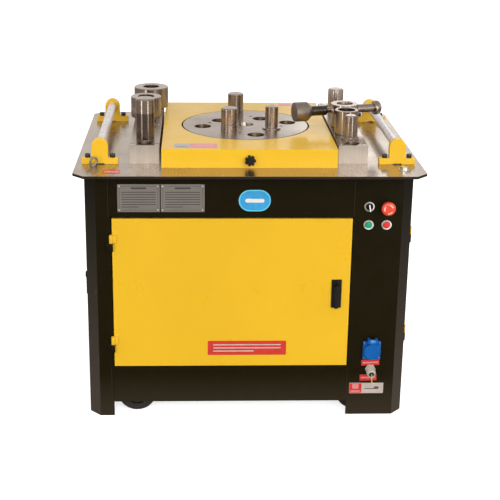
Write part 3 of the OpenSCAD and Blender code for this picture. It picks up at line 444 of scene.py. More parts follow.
def lathe(name, profile, material, body, at, stands_for=(), segments=72, bevel=0.0004):
    """Turned piece: profile of (radius, height) in metres round the local Z axis."""
    bm = bmesh.new()
    rings = []
    for radius, height in profile:
        if radius < 1e-7:
            rings.append([bm.verts.new((0, 0, height))])
            continue
        rings.append([bm.verts.new((radius * math.cos(a), radius * math.sin(a), height))
                      for a in (2 * math.pi * k / segments for k in range(segments))])
    for lower, upper in zip(rings, rings[1:]):
        for k in range(segments):
            corners = [lower[k % len(lower)], lower[(k + 1) % len(lower)],
                       upper[(k + 1) % len(upper)], upper[k % len(upper)]]
            corners = list(dict.fromkeys(corners))
            if len(corners) > 2:
                bm.faces.new(corners)
    bmesh.ops.recalc_face_normals(bm, faces=bm.faces)
    obj = add_piece(name, from_bmesh(name, bm), material, body, stands_for, at)
    return soften(obj, bevel)


def outline_plate(points, thickness):
    """Bmesh of a flat plate: outline in XY, from z = 0 to thickness."""
    bm = bmesh.new()
    face = bm.faces.new([bm.verts.new((x, y, 0)) for x, y in points])
    grown = bmesh.ops.extrude_face_region(bm, geom=[face])
    for item in grown["geom"]:
        if isinstance(item, bmesh.types.BMVert):
            item.co.z += thickness
    bmesh.ops.recalc_face_normals(bm, faces=bm.faces)
    return bm


def rounded_rectangle(w, h, r, steps=6):
    points = []
    for cx, cy, start in ((w / 2 - r, h / 2 - r, 0), (-w / 2 + r, h / 2 - r, 90),
                          (-w / 2 + r, -h / 2 + r, 180), (w / 2 - r, -h / 2 + r, 270)):
        for k in range(steps + 1):
            a = math.radians(start + 90 * k / steps)
            points.append((cx + r * math.cos(a), cy + r * math.sin(a)))
    return points


def on_front(x, y, z, turn=0.0):
    """Placement on a face that looks along -Y: local X right, local Y up, local Z out."""
    return (Matrix.Translation((x, y, z)) @ Matrix.Rotation(math.radians(90), 4, "X")
            @ Matrix.Rotation(math.radians(turn), 4, "Z"))


def on_top(x, y, z):
    """Placement on a face that looks up."""
    return Matrix.Translation((x, y, z))


def plate(name, w, h, r, thickness, material, body, at, stands_for=(), bevel=0.0002):
    mesh = from_bmesh(name, outline_plate(rounded_rectangle(w, h, r), thickness))
    return soften(add_piece(name, mesh, material, body, stands_for, at), bevel)


def joined(name, parts, material, body, at, bevel=0.0):
    """One piece out of several plates given as (w, h, r, thickness, x, y, z)."""
    whole = bmesh.new()
    for w, h, r, thickness, x, y, z in parts:
        bm = outline_plate(rounded_rectangle(w, h, r, 3), thickness)
        bmesh.ops.translate(bm, vec=(x, y, z), verts=bm.verts)
        mesh = from_bmesh(name, bm)
        whole.from_mesh(mesh)
        bpy.data.meshes.remove(mesh)
    obj = add_piece(name, from_bmesh(name, whole), material, body, (), at)
    if bevel:
        soften(obj, bevel, 1)
    return obj


# ---------------------------------------------------------------- cord


def make_lead():
    curve = bpy.data.curves.new("earth_lead_wire", "CURVE")
    curve.dimensions = "3D"
    spline = curve.splines.new("POLY")
    spline.points.add(len(LEAD_POINTS) - 1)
    for point, place in zip(spline.points, LEAD_POINTS):
        point.co = (*(c * MM for c in place), 1)
    curve.bevel_depth = LEAD_DIAMETER / 2
    curve.bevel_resolution = 4
    curve.use_fill_caps = True
    curve.materials.append(MATERIALS["lead_sheath"])
    obj = bpy.data.objects.new("earth_lead_wire", curve)
    bpy.context.scene.collection.objects.link(obj)
    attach(obj, ROOT_BODY)
    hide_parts("earth_lead")


make_lead()


# ---------------------------------------------------------------- cabinet


def dark_below(face):
    """Second material for edges and undersides."""
    return 0 if face.normal.z > 0.5 else 1


SHELL = ("corner_posts", "control_column", "cabinet_rails")
CAB_LOW = Vector(min(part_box(n)[0][k] for n in SHELL) for k in range(3))
CAB_HIGH = Vector(max(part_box(n)[1][k] for n in SHELL) for k in range(3))
FACE_Y = CAB_LOW.y


def post_pick(face):
    """The slanting corner faces get the lighter corner enamel: painted reflection of the sides, with more wear
    than the flat ones.
    """
    return 1 if 0.5 < abs(face.normal.x) < 0.9 and 0.5 < abs(face.normal.y) < 0.9 else 0


# The slanting corner faces take the lighter corner enamel, a painted reflection.
for node in SHELL:
    dress(node, 0.0012, 2, [MATERIALS["black_enamel"], CORNER_SHEEN_ENAMEL], post_pick)
dress("cabinet_panels", 0.0005, 1)
dress("table_plate", 0.0009, 2, [MATERIALS["ground_steel"], TABLE_EDGE], dark_below)
dress("hinge_knuckles", 0.0005)
DOOR_LOW, DOOR_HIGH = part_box("front_door")
for door in ("front_door", "left_door", "right_door"):

    def door_pick(face, node=door):
        """The latch plate stands proud of the sheet, and it is black plastic."""
        low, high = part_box(node.replace("door", "latch"))
        centre = face.calc_center_median()
        across = 0 if node == "front_door" else 1
        near = low[across] - 0.012 < centre[across] < high[across] + 0.012
        tall = low.z - 0.012 < centre.z < high.z + 0.022
        sheet = {"front_door": FACE_Y - centre.y, "left_door": CAB_LOW.x - centre.x,
                 "right_door": centre.x - CAB_HIGH.x}[node]
        return 1 if near and tall and sheet > 0.0004 else 0

    dress(door, 0.0009, 2, [MATERIALS["yellow_enamel"], MATERIALS["black_plastic"]], door_pick)
for latch in ("front_latch", "left_latch", "right_latch"):
    dress(latch, 0.0012, 3)


DOOR_GAP = 0.003
LOW_RAIL_FOOT = 0.045


def weld_seams():
    """Thin weld lines on the front, where the rails meet the corners."""
    rails_top = (CAB_HIGH.z, DOOR_HIGH.z + DOOR_GAP)
    rails_low = (DOOR_LOW.z - DOOR_GAP, CAB_LOW.z + LOW_RAIL_FOOT)
    for side, x in (("left", DOOR_LOW.x - DOOR_GAP / 2), ("right", DOOR_HIGH.x + DOOR_GAP)):
        for level, (high, low) in (("top", rails_top), ("low", rails_low)):
            height = high - low
            parts = [(0.0012, height - 0.002, 0.0004, 0.0005, 0, 0, 0)]
            at = on_front(x, FACE_Y, (high + low) / 2)
            joined(f"seam_{side}_{level}", parts, MATERIALS["black_enamel"], ROOT_BODY, at,
                   0.0002)


weld_seams()
PANEL_SCREW_X = 0.372
PANEL_SCREW_LOW = 0.166
PANEL_SCREW_HIGH = 0.609


def panel_screws():
    """Round-head screws round the rear panel."""
    heads = [(x, z) for x in (-PANEL_SCREW_X, 0.0, PANEL_SCREW_X)
             for z in (PANEL_SCREW_LOW, PANEL_SCREW_HIGH)]
    heads += [(x, (PANEL_SCREW_LOW + PANEL_SCREW_HIGH) / 2) for x in (-PANEL_SCREW_X, PANEL_SCREW_X)]
    profile = [(0, 0.0028), (0.0022, 0.0026), (0.0040, 0.0014), (0.0046, 0), (0, 0)]
    panel_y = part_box("cabinet_panels")[1].y
    facing_back = Matrix.Rotation(math.radians(-90), 4, "X")
    for k, (x, z) in enumerate(heads):
        lathe(f"panel_screw_{k}", profile, MATERIALS["zinc_steel"], ROOT_BODY,
              Matrix.Translation((x, panel_y, z)) @ facing_back, (), 24, 0.0002)


panel_screws()


# ---------------------------------------------------------------- deck

dress("deck_cover", 0.0014, 3)


def bar_pick(face):
    """Ground top, milled sides, and hole walls in dark steel as painted shade inside the holes."""
    if abs(face.normal.z) > 0.5:
        return 0
    xs = [v.co.x for v in face.verts]
    ys = [v.co.y for v in face.verts]
    return 2 if max(max(xs) - min(xs), max(ys) - min(ys)) < 0.010 else 1


for bar in ("pin_bar_left", "pin_bar_right"):
    dress(bar, 0.0009, 2, [MATERIALS["ground_steel"], MILLED, HOLE_SHADE_STEEL], bar_pick)
BRACKET_BOLT_IN = 0.011
BRACKET_BOLT_SPREAD = 0.035
BOLT_REACH = 0.010
BRACKET_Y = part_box("roller_brackets")[1].y - BRACKET_BOLT_IN
ROLLER_X = (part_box("roller_right")[0].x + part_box("roller_right")[1].x) / 2
BRACKET_BOLTS = [Vector((ROLLER_X + side * BRACKET_BOLT_SPREAD, BRACKET_Y)) for side in (-1, 1)]


def bolt_pick(face):
    """The brackets' socket-head bolts are blackened, the others are zinc plated."""
    centre = face.calc_center_median()
    return 1 if any(abs(abs(centre.x) - abs(bolt.x)) < BOLT_REACH
                    and abs(abs(centre.y) - abs(bolt.y)) < BOLT_REACH for bolt in BRACKET_BOLTS) else 0


dress("table_hardware", 0.0005, 2, [MATERIALS["zinc_steel"], MATERIALS["black_oxide"]], bolt_pick)
dress("eye_bolts", 0.0003, 2, EYE_STEEL)
dress("roller_brackets", 0.0014, 3)


def disc_pick(face):
    """Rim and hole walls are darker than the faced top: painted shade in the holes, and a darker rim."""
    return 0 if abs(face.normal.z) > 0.5 else 1


dress("bending_disc", 0.0008, 2, [DISC_STEEL, HOLE_SHADE_STEEL], disc_pick)
dress("main_shaft", 0.0008, 2, DISC_STEEL)


FINE_SEGMENTS = 80


def turned(node, profile_mm, material=None):
    """Upright turned piece standing for a node. Heights are above the node's lowest point."""
    low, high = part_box(node)
    at = on_top((low.x + high.x) / 2, (low.y + high.y) / 2, low.z)
    slot = SLOT_OF[node]
    profile = [(r * MM, z * MM) for r, z in profile_mm]
    return lathe(node + "_turned", profile, material or MATERIALS[slot], BODY_OF[node], at, [node],
                 FINE_SEGMENTS, 0.0005)


def pin_profile(seat_r, groove_z, r, h, chamfer):
    """Pin: seat, one fine groove, body, chamfered and dished top."""
    return [(0, 0), (seat_r - 1, 0), (seat_r, 1), (seat_r, groove_z), (r - 1.1, groove_z),
            (r - 1.1, groove_z + 2), (r, groove_z + 2), (r, h - chamfer), (r - chamfer, h),
            (r - chamfer - 2, h), (3.2, h), (2.4, h - 2.6), (0, h - 3.6)]


for node in ("bend_pin_front", "bend_pin_back"):
    turned(node, pin_profile(24.95, 55, 24.4, 106, 2.4))
# The foot of a collared pin's seat, in millimetres
SEAT_FOOT = [(0, 0), (23.9, 0), (24.95, 1)]
turned("bend_pin_small", SEAT_FOOT + [
    (24.95, 35), (27.5, 35), (27.5, 39), (20.2, 39), (19.5, 39.8), (19.5, 101.8), (17.4, 104), (3, 104),
    (2.2, 101.6), (0, 100.8)])
turned("stop_pin_left", SEAT_FOOT + [
    (24.95, 45), (26.9, 45), (26.9, 46), (26.5, 46.4), (26.5, 161.5), (23.6, 165), (3, 165), (2.2, 162.6),
    (0, 161.8)], TALL_STEEL)
turned("stop_pin_right_front", SEAT_FOOT + [
    (24.95, 40), (26, 40), (26, 45), (16.8, 45), (16, 45.8), (16, 108.6), (13.8, 111), (2.6, 111), (2, 109),
    (0, 108.4)])
turned("stop_pin_right_back", SEAT_FOOT + [
    (24.95, 53), (24.4, 53.4), (24.4, 123.4), (23.6, 126), (20.4, 127.9), (3, 128), (2.2, 126), (0, 125.4)])
SLEEVE_BORE = 25.5


def sleeve(node):
    """Plain sleeve with small chamfers, as wide and high as its node."""
    low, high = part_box(node)
    r = (high.x - low.x) / 2 / MM
    h = (high.z - low.z) / MM
    turned(node, [(SLEEVE_BORE, 0.8), (SLEEVE_BORE + 0.8, 0), (r - 1, 0), (r, 1), (r, h - 1.6), (r - 1.6, h),
                  (SLEEVE_BORE + 1.4, h), (SLEEVE_BORE, h - 1.4), (SLEEVE_BORE, 0.8)])


for node in ("sleeve_left_middle", "sleeve_left_back", "sleeve_right"):
    sleeve(node)
dress("stop_holder", 0.0012, 3)


def spindle_place():
    """Placement at the spindle's axis with local Z along it, away from the disc."""
    joint = next(j for j in frame["joints"] if j["name"] == "spindle_turn")
    inward = Vector(joint["axis"]).normalized()
    along = -inward
    side = Vector((0, 0, 1)).cross(along).normalized()
    up = along.cross(side)
    turn = Matrix((up, side, along)).transposed().to_4x4()
    return Matrix.Translation(joint["pos_m"]) @ turn


SPINDLE_AT = spindle_place()
PAD_PROFILE = [(0, -160), (28.2, -160), (29, -159.2), (29, -121.6), (28.4, -120.4), (15.6, -107.8),
               (14.3, -107), (13.2, -106.4), (13.2, -60.2), (0, -60.2)]
lathe("stop_pad_turned", [(r * MM, s * MM) for r, s in PAD_PROFILE], PAD_STEEL, BODY_OF["stop_pad"],
      SPINDLE_AT, ["stop_pad"], FINE_SEGMENTS, 0.0005)


def pad_nut():
    """Dark glossy collar of the pad, with fine grip lines."""
    rings = [(14.4, -107.2), (15.0, -106.4), (15.0, -104.6)]
    for k in range(9):
        at = -103.0 + 4.4 * k
        rings += [(14.6, at), (14.2, at + 0.7), (14.6, at + 1.4)]
    rings += [(14.6, -62.6), (13.9, -60.0), (13.0, -58.8), (9.0, -58.8)]
    lathe("stop_pad_nut", [(r * MM, s * MM) for r, s in rings], DARK_STEEL, BODY_OF["stop_pad"], SPINDLE_AT,
          (), FINE_SEGMENTS, 0.0002)


pad_nut()
SPINDLE_PROFILE = [(0, -58.9), (7.6, -58.9), (8, -58.5), (8, -44), (12.5, -38)]
for k in range(14):
    top = -36 + 2.0 * k
    SPINDLE_PROFILE += [(12.5, top), (11.9, top + 0.5), (11.9, top + 1.0), (12.5, top + 1.5)]
SPINDLE_PROFILE += [(12.5, 92.6), (12.1, 93), (18.5, 93), (20.6, 95), (21.5, 98), (21.5, 105), (20.3, 109),
                    (16.6, 113.4), (12.5, 116), (9.5, 116), (8.8, 114.6), (0, 114.2)]
lathe("stop_spindle_turned", [(r * MM, s * MM) for r, s in SPINDLE_PROFILE], MATERIALS["hard_steel"],
      BODY_OF["stop_spindle"], SPINDLE_AT, ["stop_spindle"], FINE_SEGMENTS, 0.0003)


def roller(node):
    """Film-wrapped roller: slightly wavy skin with tucked ends, and steel journals."""
    low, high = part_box(node)
    centre = (low + high) / 2
    half = (high.y - low.y) / 2
    skin_half = half - 0.012
    r = (high.x - low.x) / 2
    random.seed(7)
    at = Matrix.Translation((centre.x, centre.y, centre.z)) @ Matrix.Rotation(math.radians(-90), 4, "X")
    profile = [(0, -skin_half), (r - 0.003, -skin_half), (r - 0.0006, -skin_half + 0.0015)]
    steps = 60
    for k in range(1, steps):
        height = -skin_half + 2 * skin_half * k / steps
        profile.append((r - 0.0004 - 0.0006 * random.random(), height))
    profile += [(r - 0.0006, skin_half - 0.0015), (r - 0.003, skin_half), (0, skin_half)]
    lathe(node + "_wrapped", profile, MATERIALS["roller_steel"], BODY_OF[node], at, [node],
          56, 0.0002)
    for end, sign in (("front", -1), ("back", 1)):
        start, stop = sign * (skin_half - 0.0005), sign * half
        journal = [(0, start), (0.008, start), (0.008, stop - sign * 0.0008), (0.0072, stop), (0, stop)]
        lathe(f"{node}_journal_{end}", journal, MATERIALS["zinc_steel"], BODY_OF[node], at, (),
              40, 0.0002)


roller("roller_left")
roller("roller_right")
dress("cover_knob", 0.0012, 3)


# ---------------------------------------------------------------- labels and plates


def bars(name, w, h, rows, share, material, body, at, z=0.0003, last=0.6):
    """Plain printed bars, one to a row, the last of several shorter."""
    row_h = h / rows
    parts = []
    for k in range(rows):
        length = w * (last if rows > 1 and k == rows - 1 else 1.0)
        parts.append((length, row_h * share, row_h * share * 0.3, 0.00012, (length - w) / 2,
                      h / 2 - row_h * (k + 0.5), z))
    return joined(name, parts, material, body, at)


def label(name, w, h, material, body, at, bar_rows, bar_material, r, share=0.40):
    """Printed film with plain bars on it."""
    plate(name, w, h, r, 0.0003, material, body, at, (), 0.0001)
    bars(name + "_bars", w * 0.86, h * 0.66, bar_rows, share, bar_material, body, at)


label("door_label", 0.229, 0.045, PRINT_RED, "front_door",
      on_front((DOOR_LOW.x + DOOR_HIGH.x) / 2 + 0.050, FACE_Y, DOOR_LOW.z + 0.0565), 3, PRINT_PALE, 0.003,
      0.34)


def nameplate(name, x0, w):
    low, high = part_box("nameplates")
    h = high.z - low.z
    at = on_front(x0 + w / 2, FACE_Y, (low.z + high.z) / 2)
    obj = plate(name, w - 0.0008, h, 0.0012, 0.0008, MATERIALS["nameplate"], ROOT_BODY, at)
    line = 0.0007
    inner_w, inner_h, lift = w - 0.012, h - 0.012, 0.0008
    border = [(inner_w, line, 0.0002, 0.0001, 0, s * inner_h / 2, lift) for s in (-1, 1)]
    border += [(line, inner_h, 0.0002, 0.0001, s * inner_w / 2, 0, lift) for s in (-1, 1)]
    joined(name + "_border", border, PRINT_DARK, ROOT_BODY, at)
    bars(name + "_bars", w * 0.80, h * 0.62, 7, 0.30, PRINT_DARK, ROOT_BODY,
         at @ Matrix.Translation((0, -0.004, 0)), lift, 0.5)
    bars(name + "_header", w * 0.36, h * 0.07, 1, 0.8, PRINT_DARK, ROOT_BODY,
         at @ Matrix.Translation((0, h * 0.36, 0)), lift)
    rivet = [(0, 0.0010), (0.0012, 0.0009), (0.0021, 0.0004), (0.0024, 0), (0, 0)]
    for k, (sx, sz) in enumerate(((-1, -1), (1, -1), (-1, 1), (1, 1))):
        place = at @ Matrix.Translation((sx * (w / 2 - 0.006), sz * (h / 2 - 0.006), 0.0008))
        lathe(f"{name}_rivet_{k}", rivet, MATERIALS["chrome_ring"], ROOT_BODY, place, (), 20,
              0.0001)
    return obj


PLATE_LOW, PLATE_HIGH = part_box("nameplates")
LEFT_PLATE_W = 0.119
RIGHT_PLATE_X = PLATE_LOW.x + 0.121
left_plate = nameplate("nameplate_left", PLATE_LOW.x, LEFT_PLATE_W)
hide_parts("nameplates")
nameplate("nameplate_right", RIGHT_PLATE_X, PLATE_HIGH.x - RIGHT_PLATE_X)


def badge():
    """Oval badge with a plain bar."""
    at = on_front(0.014, FACE_Y, 0.6675)
    plate("badge_rim", 0.090, 0.063, 0.0312, 0.0004, PRINT_SKY, ROOT_BODY, at)
    plate("badge_field", 0.083, 0.056, 0.0278, 0.0007, PRINT_BLUE, ROOT_BODY, at)
    plate("badge_bar", 0.054, 0.011, 0.0052, 0.0009, PRINT_WHITE, ROOT_BODY, at)


badge()

COVER_LOW, COVER_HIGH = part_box("deck_cover")
DECK_Z = COVER_HIGH.z


def cover_labels():
    """Grey and pink film at the cover's front left corner, pink and white at its back."""
    y = COVER_LOW.y + 0.0415
    grey_x = COVER_LOW.x + 0.0575
    pink_x = COVER_LOW.x + 0.118
    plate("cover_label_grey", 0.045, 0.047, 0.001, 0.0003, PRINT_GREY, ROOT_BODY, on_top(grey_x, y, DECK_Z))
    plate("cover_label_pink", 0.076, 0.047, 0.001, 0.0003, PRINT_PINK, ROOT_BODY, on_top(pink_x, y, DECK_Z))
    bars("cover_label_bars", 0.050, 0.012, 1, 0.5, PRINT_PALE, ROOT_BODY, on_top(pink_x, y, DECK_Z))
    bars("cover_label_edge", 0.030, 0.010, 1, 0.4, PRINT_DARK, ROOT_BODY,
         on_top(grey_x, y - 0.012, DECK_Z))
    back = COVER_HIGH.y - 0.032
    plate("back_label_pink", 0.045, 0.036, 0.001, 0.0003, PRINT_PINK, ROOT_BODY, on_top(0.1425, back, DECK_Z))
    plate("back_label_white", 0.050, 0.036, 0.001, 0.0003, PRINT_WHITE, ROOT_BODY,
          on_top(0.190, back, DECK_Z))


cover_labels()
TABLE_LOW, TABLE_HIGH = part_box("table_plate")
label("table_label", 0.047, 0.035, PRINT_RED, ROOT_BODY, on_top(-0.3835, TABLE_LOW.y + 0.0455, TABLE_HIGH.z),
      1, PRINT_PALE, 0.001)
label("column_label_upper", 0.053, 0.018, PRINT_RED, ROOT_BODY, on_front(0.3625, FACE_Y, 0.169, 3), 1,
      PRINT_PINK, 0.001)
label("column_label_middle", 0.050, 0.020, PRINT_RED, ROOT_BODY, on_front(0.358, FACE_Y, 0.1205, 2), 1,
      PRINT_PINK, 0.001)


def cable_label():
    """White film under the gland, with a red field at its left and two dark marks at its right."""
    at = on_front(0.354, FACE_Y, 0.086)
    red_x = -0.032
    plate("column_label_white", 0.101, 0.034, 0.002, 0.0003, PRINT_FILM, ROOT_BODY, at)
    plate("column_label_red", 0.036, 0.031, 0.0015, 0.0004, PRINT_RED, ROOT_BODY,
          at @ Matrix.Translation((red_x, 0, 0)))
    bars("column_label_bars", 0.028, 0.009, 1, 0.6, PRINT_PINK, ROOT_BODY,
         at @ Matrix.Translation((red_x, -0.010, 0)), 0.0004)
    plate("column_label_frame", 0.020, 0.016, 0.004, 0.00045, PRINT_PINK, ROOT_BODY,
          at @ Matrix.Translation((red_x, 0.006, 0)))
    marks = [(0.034, 0.0022, 0.0008, 0.0002, 0.012, -0.002, 0.0003),
             (0.014, 0.008, 0.002, 0.0002, 0.030, 0.001, 0.0003)]
    joined("column_label_marks", marks, PRINT_DARK, ROOT_BODY, at)


cable_label()


# ---------------------------------------------------------------- controls and socket

CONTROL_NODES = ("selector_knob", "estop_button", "start_button", "stop_button")


def on_panel(node, turn=0.0):
    """Placement on the column's front at the middle of a control's node."""
    low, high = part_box(node)
    centre = (low + high) / 2
    return on_front(centre.x, FACE_Y, centre.z, turn)


def bezel(node):
    """Chromed ring round a control."""
    profile = [(0.0096, -0.018), (0.0111, -0.018), (0.0111, 0), (0.01475, 0), (0.01475, 0.0022),
               (0.0136, 0.0037), (0.0118, 0.0040), (0.0102, 0.0034), (0.0096, 0.0028), (0.0096, -0.018)]
    return lathe("bezel_" + node, profile, MATERIALS["chrome_ring"], ROOT_BODY, on_panel(node),
                 (), 56, 0.0002)


def controls():
    """Bezels, push buttons, emergency stop and selector."""
    bezels = [bezel(node) for node in CONTROL_NODES]
    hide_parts("button_bezels")
    cap = [(0, -0.008), (0.0093, -0.008), (0.0093, 0.0046), (0.0088, 0.0054), (0.0070, 0.0058),
           (0.0035, 0.0060), (0, 0.0060)]
    for node in ("start_button", "stop_button"):
        lathe(node + "_cap", cap, MATERIALS[SLOT_OF[node]], BODY_OF[node], on_panel(node),
              [node], 48, 0.0002)
    head = [(0, -0.008), (0.0090, -0.008), (0.0090, 0.0142), (0.0138, 0.0142), (0.0185, 0.0166),
            (0.0200, 0.0190), (0.0200, 0.0238), (0.0192, 0.0262), (0.0172, 0.0280), (0.0130, 0.0289),
            (0.0085, 0.0290), (0.0080, 0.0286), (0, 0.0286)]
    lathe("estop_button_head", head, ESTOP_RED, BODY_OF["estop_button"], on_panel("estop_button"),
          ["estop_button"], 64, 0.0003)
    arrows()
    base = [(0, -0.008), (0.0093, -0.008), (0.0093, 0.0050), (0.0090, 0.0072), (0.0082, 0.0080), (0, 0.0080)]
    lathe("selector_base", base, MATERIALS["black_plastic"], BODY_OF["selector_knob"],
          on_panel("selector_knob"), ["selector_knob"], 48, 0.0003)
    grip_at = on_panel("selector_knob", 12)
    plate("selector_grip", 0.0070, 0.0226, 0.0030, 0.0150, MATERIALS["black_plastic"],
          BODY_OF["selector_knob"], grip_at, (), 0.0009)
    plate("selector_pointer", 0.0038, 0.0204, 0.0012, 0.0004, POINTER_WHITE, BODY_OF["selector_knob"],
          grip_at @ Matrix.Translation((0, -0.0008, 0.0149)), (), 0.0001)


def arrows():
    """Turn marks on the emergency stop: three arcs."""
    whole = bmesh.new()
    for k in range(3):
        inner, outer = [], []
        for step in range(9):
            a = math.radians(120 * k + 20 + 8 * step)
            inner.append(whole.verts.new((0.0104 * math.cos(a), 0.0104 * math.sin(a), 0.02935)))
            outer.append(whole.verts.new((0.0140 * math.cos(a), 0.0140 * math.sin(a), 0.02905)))
        for i in range(8):
            whole.faces.new([inner[i], outer[i], outer[i + 1], inner[i + 1]])
    add_piece("estop_marks", from_bmesh("estop_marks", whole), ESTOP_MARK, BODY_OF["estop_button"], (),
              on_panel("estop_button"))


controls()


def socket():
    """Panel socket with its four screws, and the hinge barrel of its lid."""
    dress("socket_body", 0.0010, 3)
    dress("socket_lid", 0.0010, 3)
    low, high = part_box("socket_body")
    x, z = (low.x + high.x) / 2, low.z + 0.029
    screw = [(0, 0.0012), (0.0016, 0.0012), (0.0026, 0.0006), (0.0028, 0), (0, 0)]
    for k, (sx, sz) in enumerate(((-1, -1), (1, -1), (-1, 1), (1, 1))):
        at = on_front(x + sx * 0.0215, FACE_Y - 0.006, z + sz * 0.0235)
        lathe(f"socket_screw_{k}", screw, EYE_STEEL, ROOT_BODY, at, (), 24, 0.0002)
    hinge = next(joint for joint in frame["joints"] if joint["name"] == "socket_lid_hinge")
    half, r = 0.0076, 0.0060
    barrel = [(0, -half), (r - 0.0006, -half), (r, -half + 0.0006), (r, half - 0.0006), (r - 0.0006, half),
              (0, half)]
    at = Matrix.Translation(hinge["pos_m"]) @ Matrix.Rotation(math.radians(90), 4, "Y")
    lathe("socket_lid_barrel", barrel, HINGE_BLUE, BODY_OF["socket_lid"], at, (), 32, 0.0002)


socket()


# Fall of the gland's axis for each metre forwards
GLAND_SLOPE = 0.2


def gland():
    """Clamp nut with flutes, lock nut, seal ring and the tilted body."""
    nose = Vector(LEAD_POINTS[0]) * MM
    tilt = math.atan(GLAND_SLOPE)
    at = Matrix.Translation(nose) @ Matrix.Rotation(math.radians(90) + tilt, 4, "X")
    body = [(0, -0.0245), (0.0128, -0.0245), (0.0128, -0.0150), (0.0120, -0.0148), (0.0120, -0.0136),
            (0, -0.0136)]
    bm = bmesh.new()
    flutes, rings = 14, []
    levels = ((-0.0140, 0.0131), (-0.0134, 0.0135), (-0.0068, 0.0135), (-0.0030, 0.0124), (-0.0006, 0.0106),
              (0.0, 0.0098))
    for height, r in levels:
        ring = []
        for k in range(flutes * 4):
            a = 2 * math.pi * k / (flutes * 4)
            depth = 0.0009 if k % 4 == 0 and -0.0136 < height < -0.002 else 0.0
            ring.append(bm.verts.new(((r - depth) * math.cos(a), (r - depth) * math.sin(a), height)))
        rings.append(ring)
    for lower, upper in zip(rings, rings[1:]):
        for k in range(len(lower)):
            n = (k + 1) % len(lower)
            bm.faces.new([lower[k], lower[n], upper[n], upper[k]])
    bm.faces.new(rings[0])
    bm.faces.new(rings[-1])
    bmesh.ops.recalc_face_normals(bm, faces=bm.faces)
    nut = add_piece("gland_nut", from_bmesh("gland_nut", bm), MATERIALS["white_plastic"], ROOT_BODY,
                    ["cable_gland"], at)
    soften(nut, 0.0003, 2, 25)
    lathe("gland_body", body, MATERIALS["white_plastic"], ROOT_BODY, at, (), 48, 0.0003)
    seal = [(0.0016, 0.0002), (0.0078, 0.0002), (0.0078, -0.002), (0.0016, -0.002), (0.0016, 0.0002)]
    lathe("gland_seal", seal, SEAL_RUBBER, ROOT_BODY, at, (), 36, 0.0001)
    lock_z = nose.z + GLAND_SLOPE * (FACE_Y - nose.y)
    hexagon = [(0.0158 * math.cos(math.radians(60 * k)), 0.0158 * math.sin(math.radians(60 * k)))
               for k in range(6)]
    lock = add_piece("gland_lock_nut", from_bmesh("gland_lock_nut", outline_plate(hexagon, 0.005)),
                     MATERIALS["white_plastic"], ROOT_BODY, (),
                     on_front(nose.x, FACE_Y, lock_z))
    soften(lock, 0.0006)


gland()


# ---------------------------------------------------------------- wheels and drive


def wheel(node):
    """Rubber tyre on a steel hub with a recessed web."""
    low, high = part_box(node)
    centre = (low + high) / 2
    w = (high.y - low.y) / 2
    r = (high.x - low.x) / 2
    at = Matrix.Translation(centre) @ Matrix.Rotation(math.radians(90), 4, "X")
    tyre = [(0.0375, -w + 0.001), (r - 0.003, -w), (r - 0.0006, -w + 0.0015), (r, -w + 0.005), (r, w - 0.005),
            (r - 0.0006, w - 0.0015), (r - 0.003, w), (0.0375, w - 0.001), (0.0375, -w + 0.001)]
    lathe(node + "_tyre", tyre, MATERIALS["tread_rubber"], BODY_OF[node], at, [node], 72,
          0.0006)
    hub = [(0.00706, -w), (0.0155, -w), (0.0175, -w + 0.006), (0.034, -w + 0.006), (0.0376, -w + 0.0015),
           (0.0376, w - 0.0015), (0.034, w - 0.006), (0.0175, w - 0.006), (0.0155, w), (0.00706, w),
           (0.00706, -w)]
    lathe(node + "_hub", hub, DARK_STEEL, BODY_OF[node], at, (), 56, 0.0005)


for node in ("wheel_front_left", "wheel_front_right", "wheel_rear_left", "wheel_rear_right"):
    wheel(node)
for node in ("wheel_brackets", "gearbox_housing", "motor_bracket", "electrical_box", "shaft_bearings",
             "motor"):
    dress(node, 0.0008)
for node in ("v_belts", "output_gear", "middle_gears", "input_shaft", "motor_pulley"):
    NODES[node].data.materials.clear()
    NODES[node].data.materials.append(MATERIALS[SLOT_OF[node]])


# ---------------------------------------------------------------- floor, world and lights


def make_floor():
    bm = bmesh.new()
    bmesh.ops.create_grid(bm, x_segments=8, y_segments=8, size=30)
    mesh = from_bmesh("floor", bm)
    s = Shader("floor_white")
    s.link(s.ramp(s.noise(0.8, 3.0), (0.3, (0.90, 0.90, 0.90)), (0.7, (0.93, 0.93, 0.93))),
           s.bsdf.inputs["Base Color"])
    s.set(Roughness=0.8, Specular_IOR_Level=0.1, Emission_Color=(1, 1, 1, 1), Emission_Strength=0.72)
    mesh.materials.append(s.material)
    floor = bpy.data.objects.new("floor", mesh)
    bpy.context.scene.collection.objects.link(floor)
    floor.location.z = CAD_LOW.z
    floor.visible_glossy = False
    floor.visible_diffuse = False


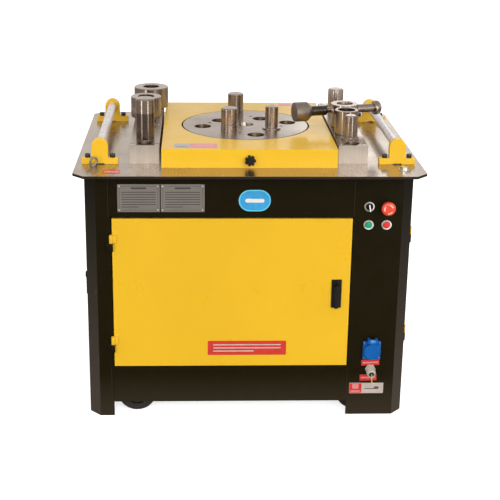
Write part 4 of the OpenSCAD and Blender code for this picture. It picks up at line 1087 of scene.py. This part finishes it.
def make_world():
    world = bpy.data.worlds.new("studio")
    bpy.context.scene.world = world
    world.use_nodes = True
    tree = world.node_tree
    coords = tree.nodes.new("ShaderNodeTexCoord")
    split = tree.nodes.new("ShaderNodeSeparateXYZ")
    tree.links.new(coords.outputs["Generated"], split.inputs[0])
    ramp = tree.nodes.new("ShaderNodeValToRGB")
    stops = ((0.0, (0.30, 0.25, 0.21)), (0.44, (0.36, 0.31, 0.27)), (0.50, (0.97, 0.96, 0.95)),
             (0.58, (0.97, 0.94, 0.91)), (0.68, (0.95, 0.92, 0.89)), (0.82, (0.72, 0.70, 0.68)),
             (1.0, (0.55, 0.55, 0.55)))
    elements = ramp.color_ramp.elements
    for k, (place, color) in enumerate(stops):
        element = elements[k] if k < 2 else elements.new(place)
        element.position = place
        element.color = (*color, 1)
    remap = tree.nodes.new("ShaderNodeMapRange")
    remap.inputs["From Min"].default_value = -1
    remap.inputs["From Max"].default_value = 1
    tree.links.new(split.outputs["Z"], remap.inputs["Value"])
    tree.links.new(remap.outputs["Result"], ramp.inputs["Fac"])
    background = tree.nodes["Background"]
    tree.links.new(ramp.outputs["Color"], background.inputs["Color"])
    background.inputs["Strength"].default_value = 1.0


def softbox(name, place, target, width, height, power, color=(1, 1, 1), glossy=True, lights_up=True):
    data = bpy.data.lights.new(name, "AREA")
    data.shape = "RECTANGLE"
    data.size, data.size_y = width, height
    data.energy = power
    data.color = color
    light = bpy.data.objects.new(name, data)
    bpy.context.scene.collection.objects.link(light)
    light.location = place
    light.visible_glossy = glossy
    light.visible_diffuse = lights_up
    light.rotation_euler = (Vector(target) - Vector(place)).to_track_quat("-Z", "Y").to_euler()


make_floor()
make_world()
softbox("key_left", (-2.6, -3.6, 1.8), (0, 0, 0.6), 2.4, 2.0, 45, (1.0, 0.97, 0.93), False)
softbox("key_right", (2.4, -3.6, 2.0), (0, 0, 0.6), 2.4, 2.0, 66, (1.0, 0.97, 0.93), False)
softbox("front_fill", (0.3, -5.2, 2.6), (0, 0, 0.5), 3.0, 2.0, 60)
softbox("deck_light", (0.6, -1.6, 3.2), (0.1, -0.2, 0.8), 1.6, 1.2, 13, (1, 1, 1), False)
softbox("strip_left", (-2.0, -2.2, 0.3), (0, 0, 0.5), 0.35, 3.0, 16, (1, 1, 1), True, False)
softbox("strip_right", (1.7, -2.6, 0.3), (0, 0, 0.5), 0.30, 3.0, 16, (1, 1, 1), True, False)
softbox("back_glow", (0.90, 4.0, 2.12), (0.3, -0.2, 0.8), 0.8, 0.4, 2.6)

view = bpy.context.scene.view_settings
view.view_transform = "Standard"
view.look = "None"
view.exposure = 0.0
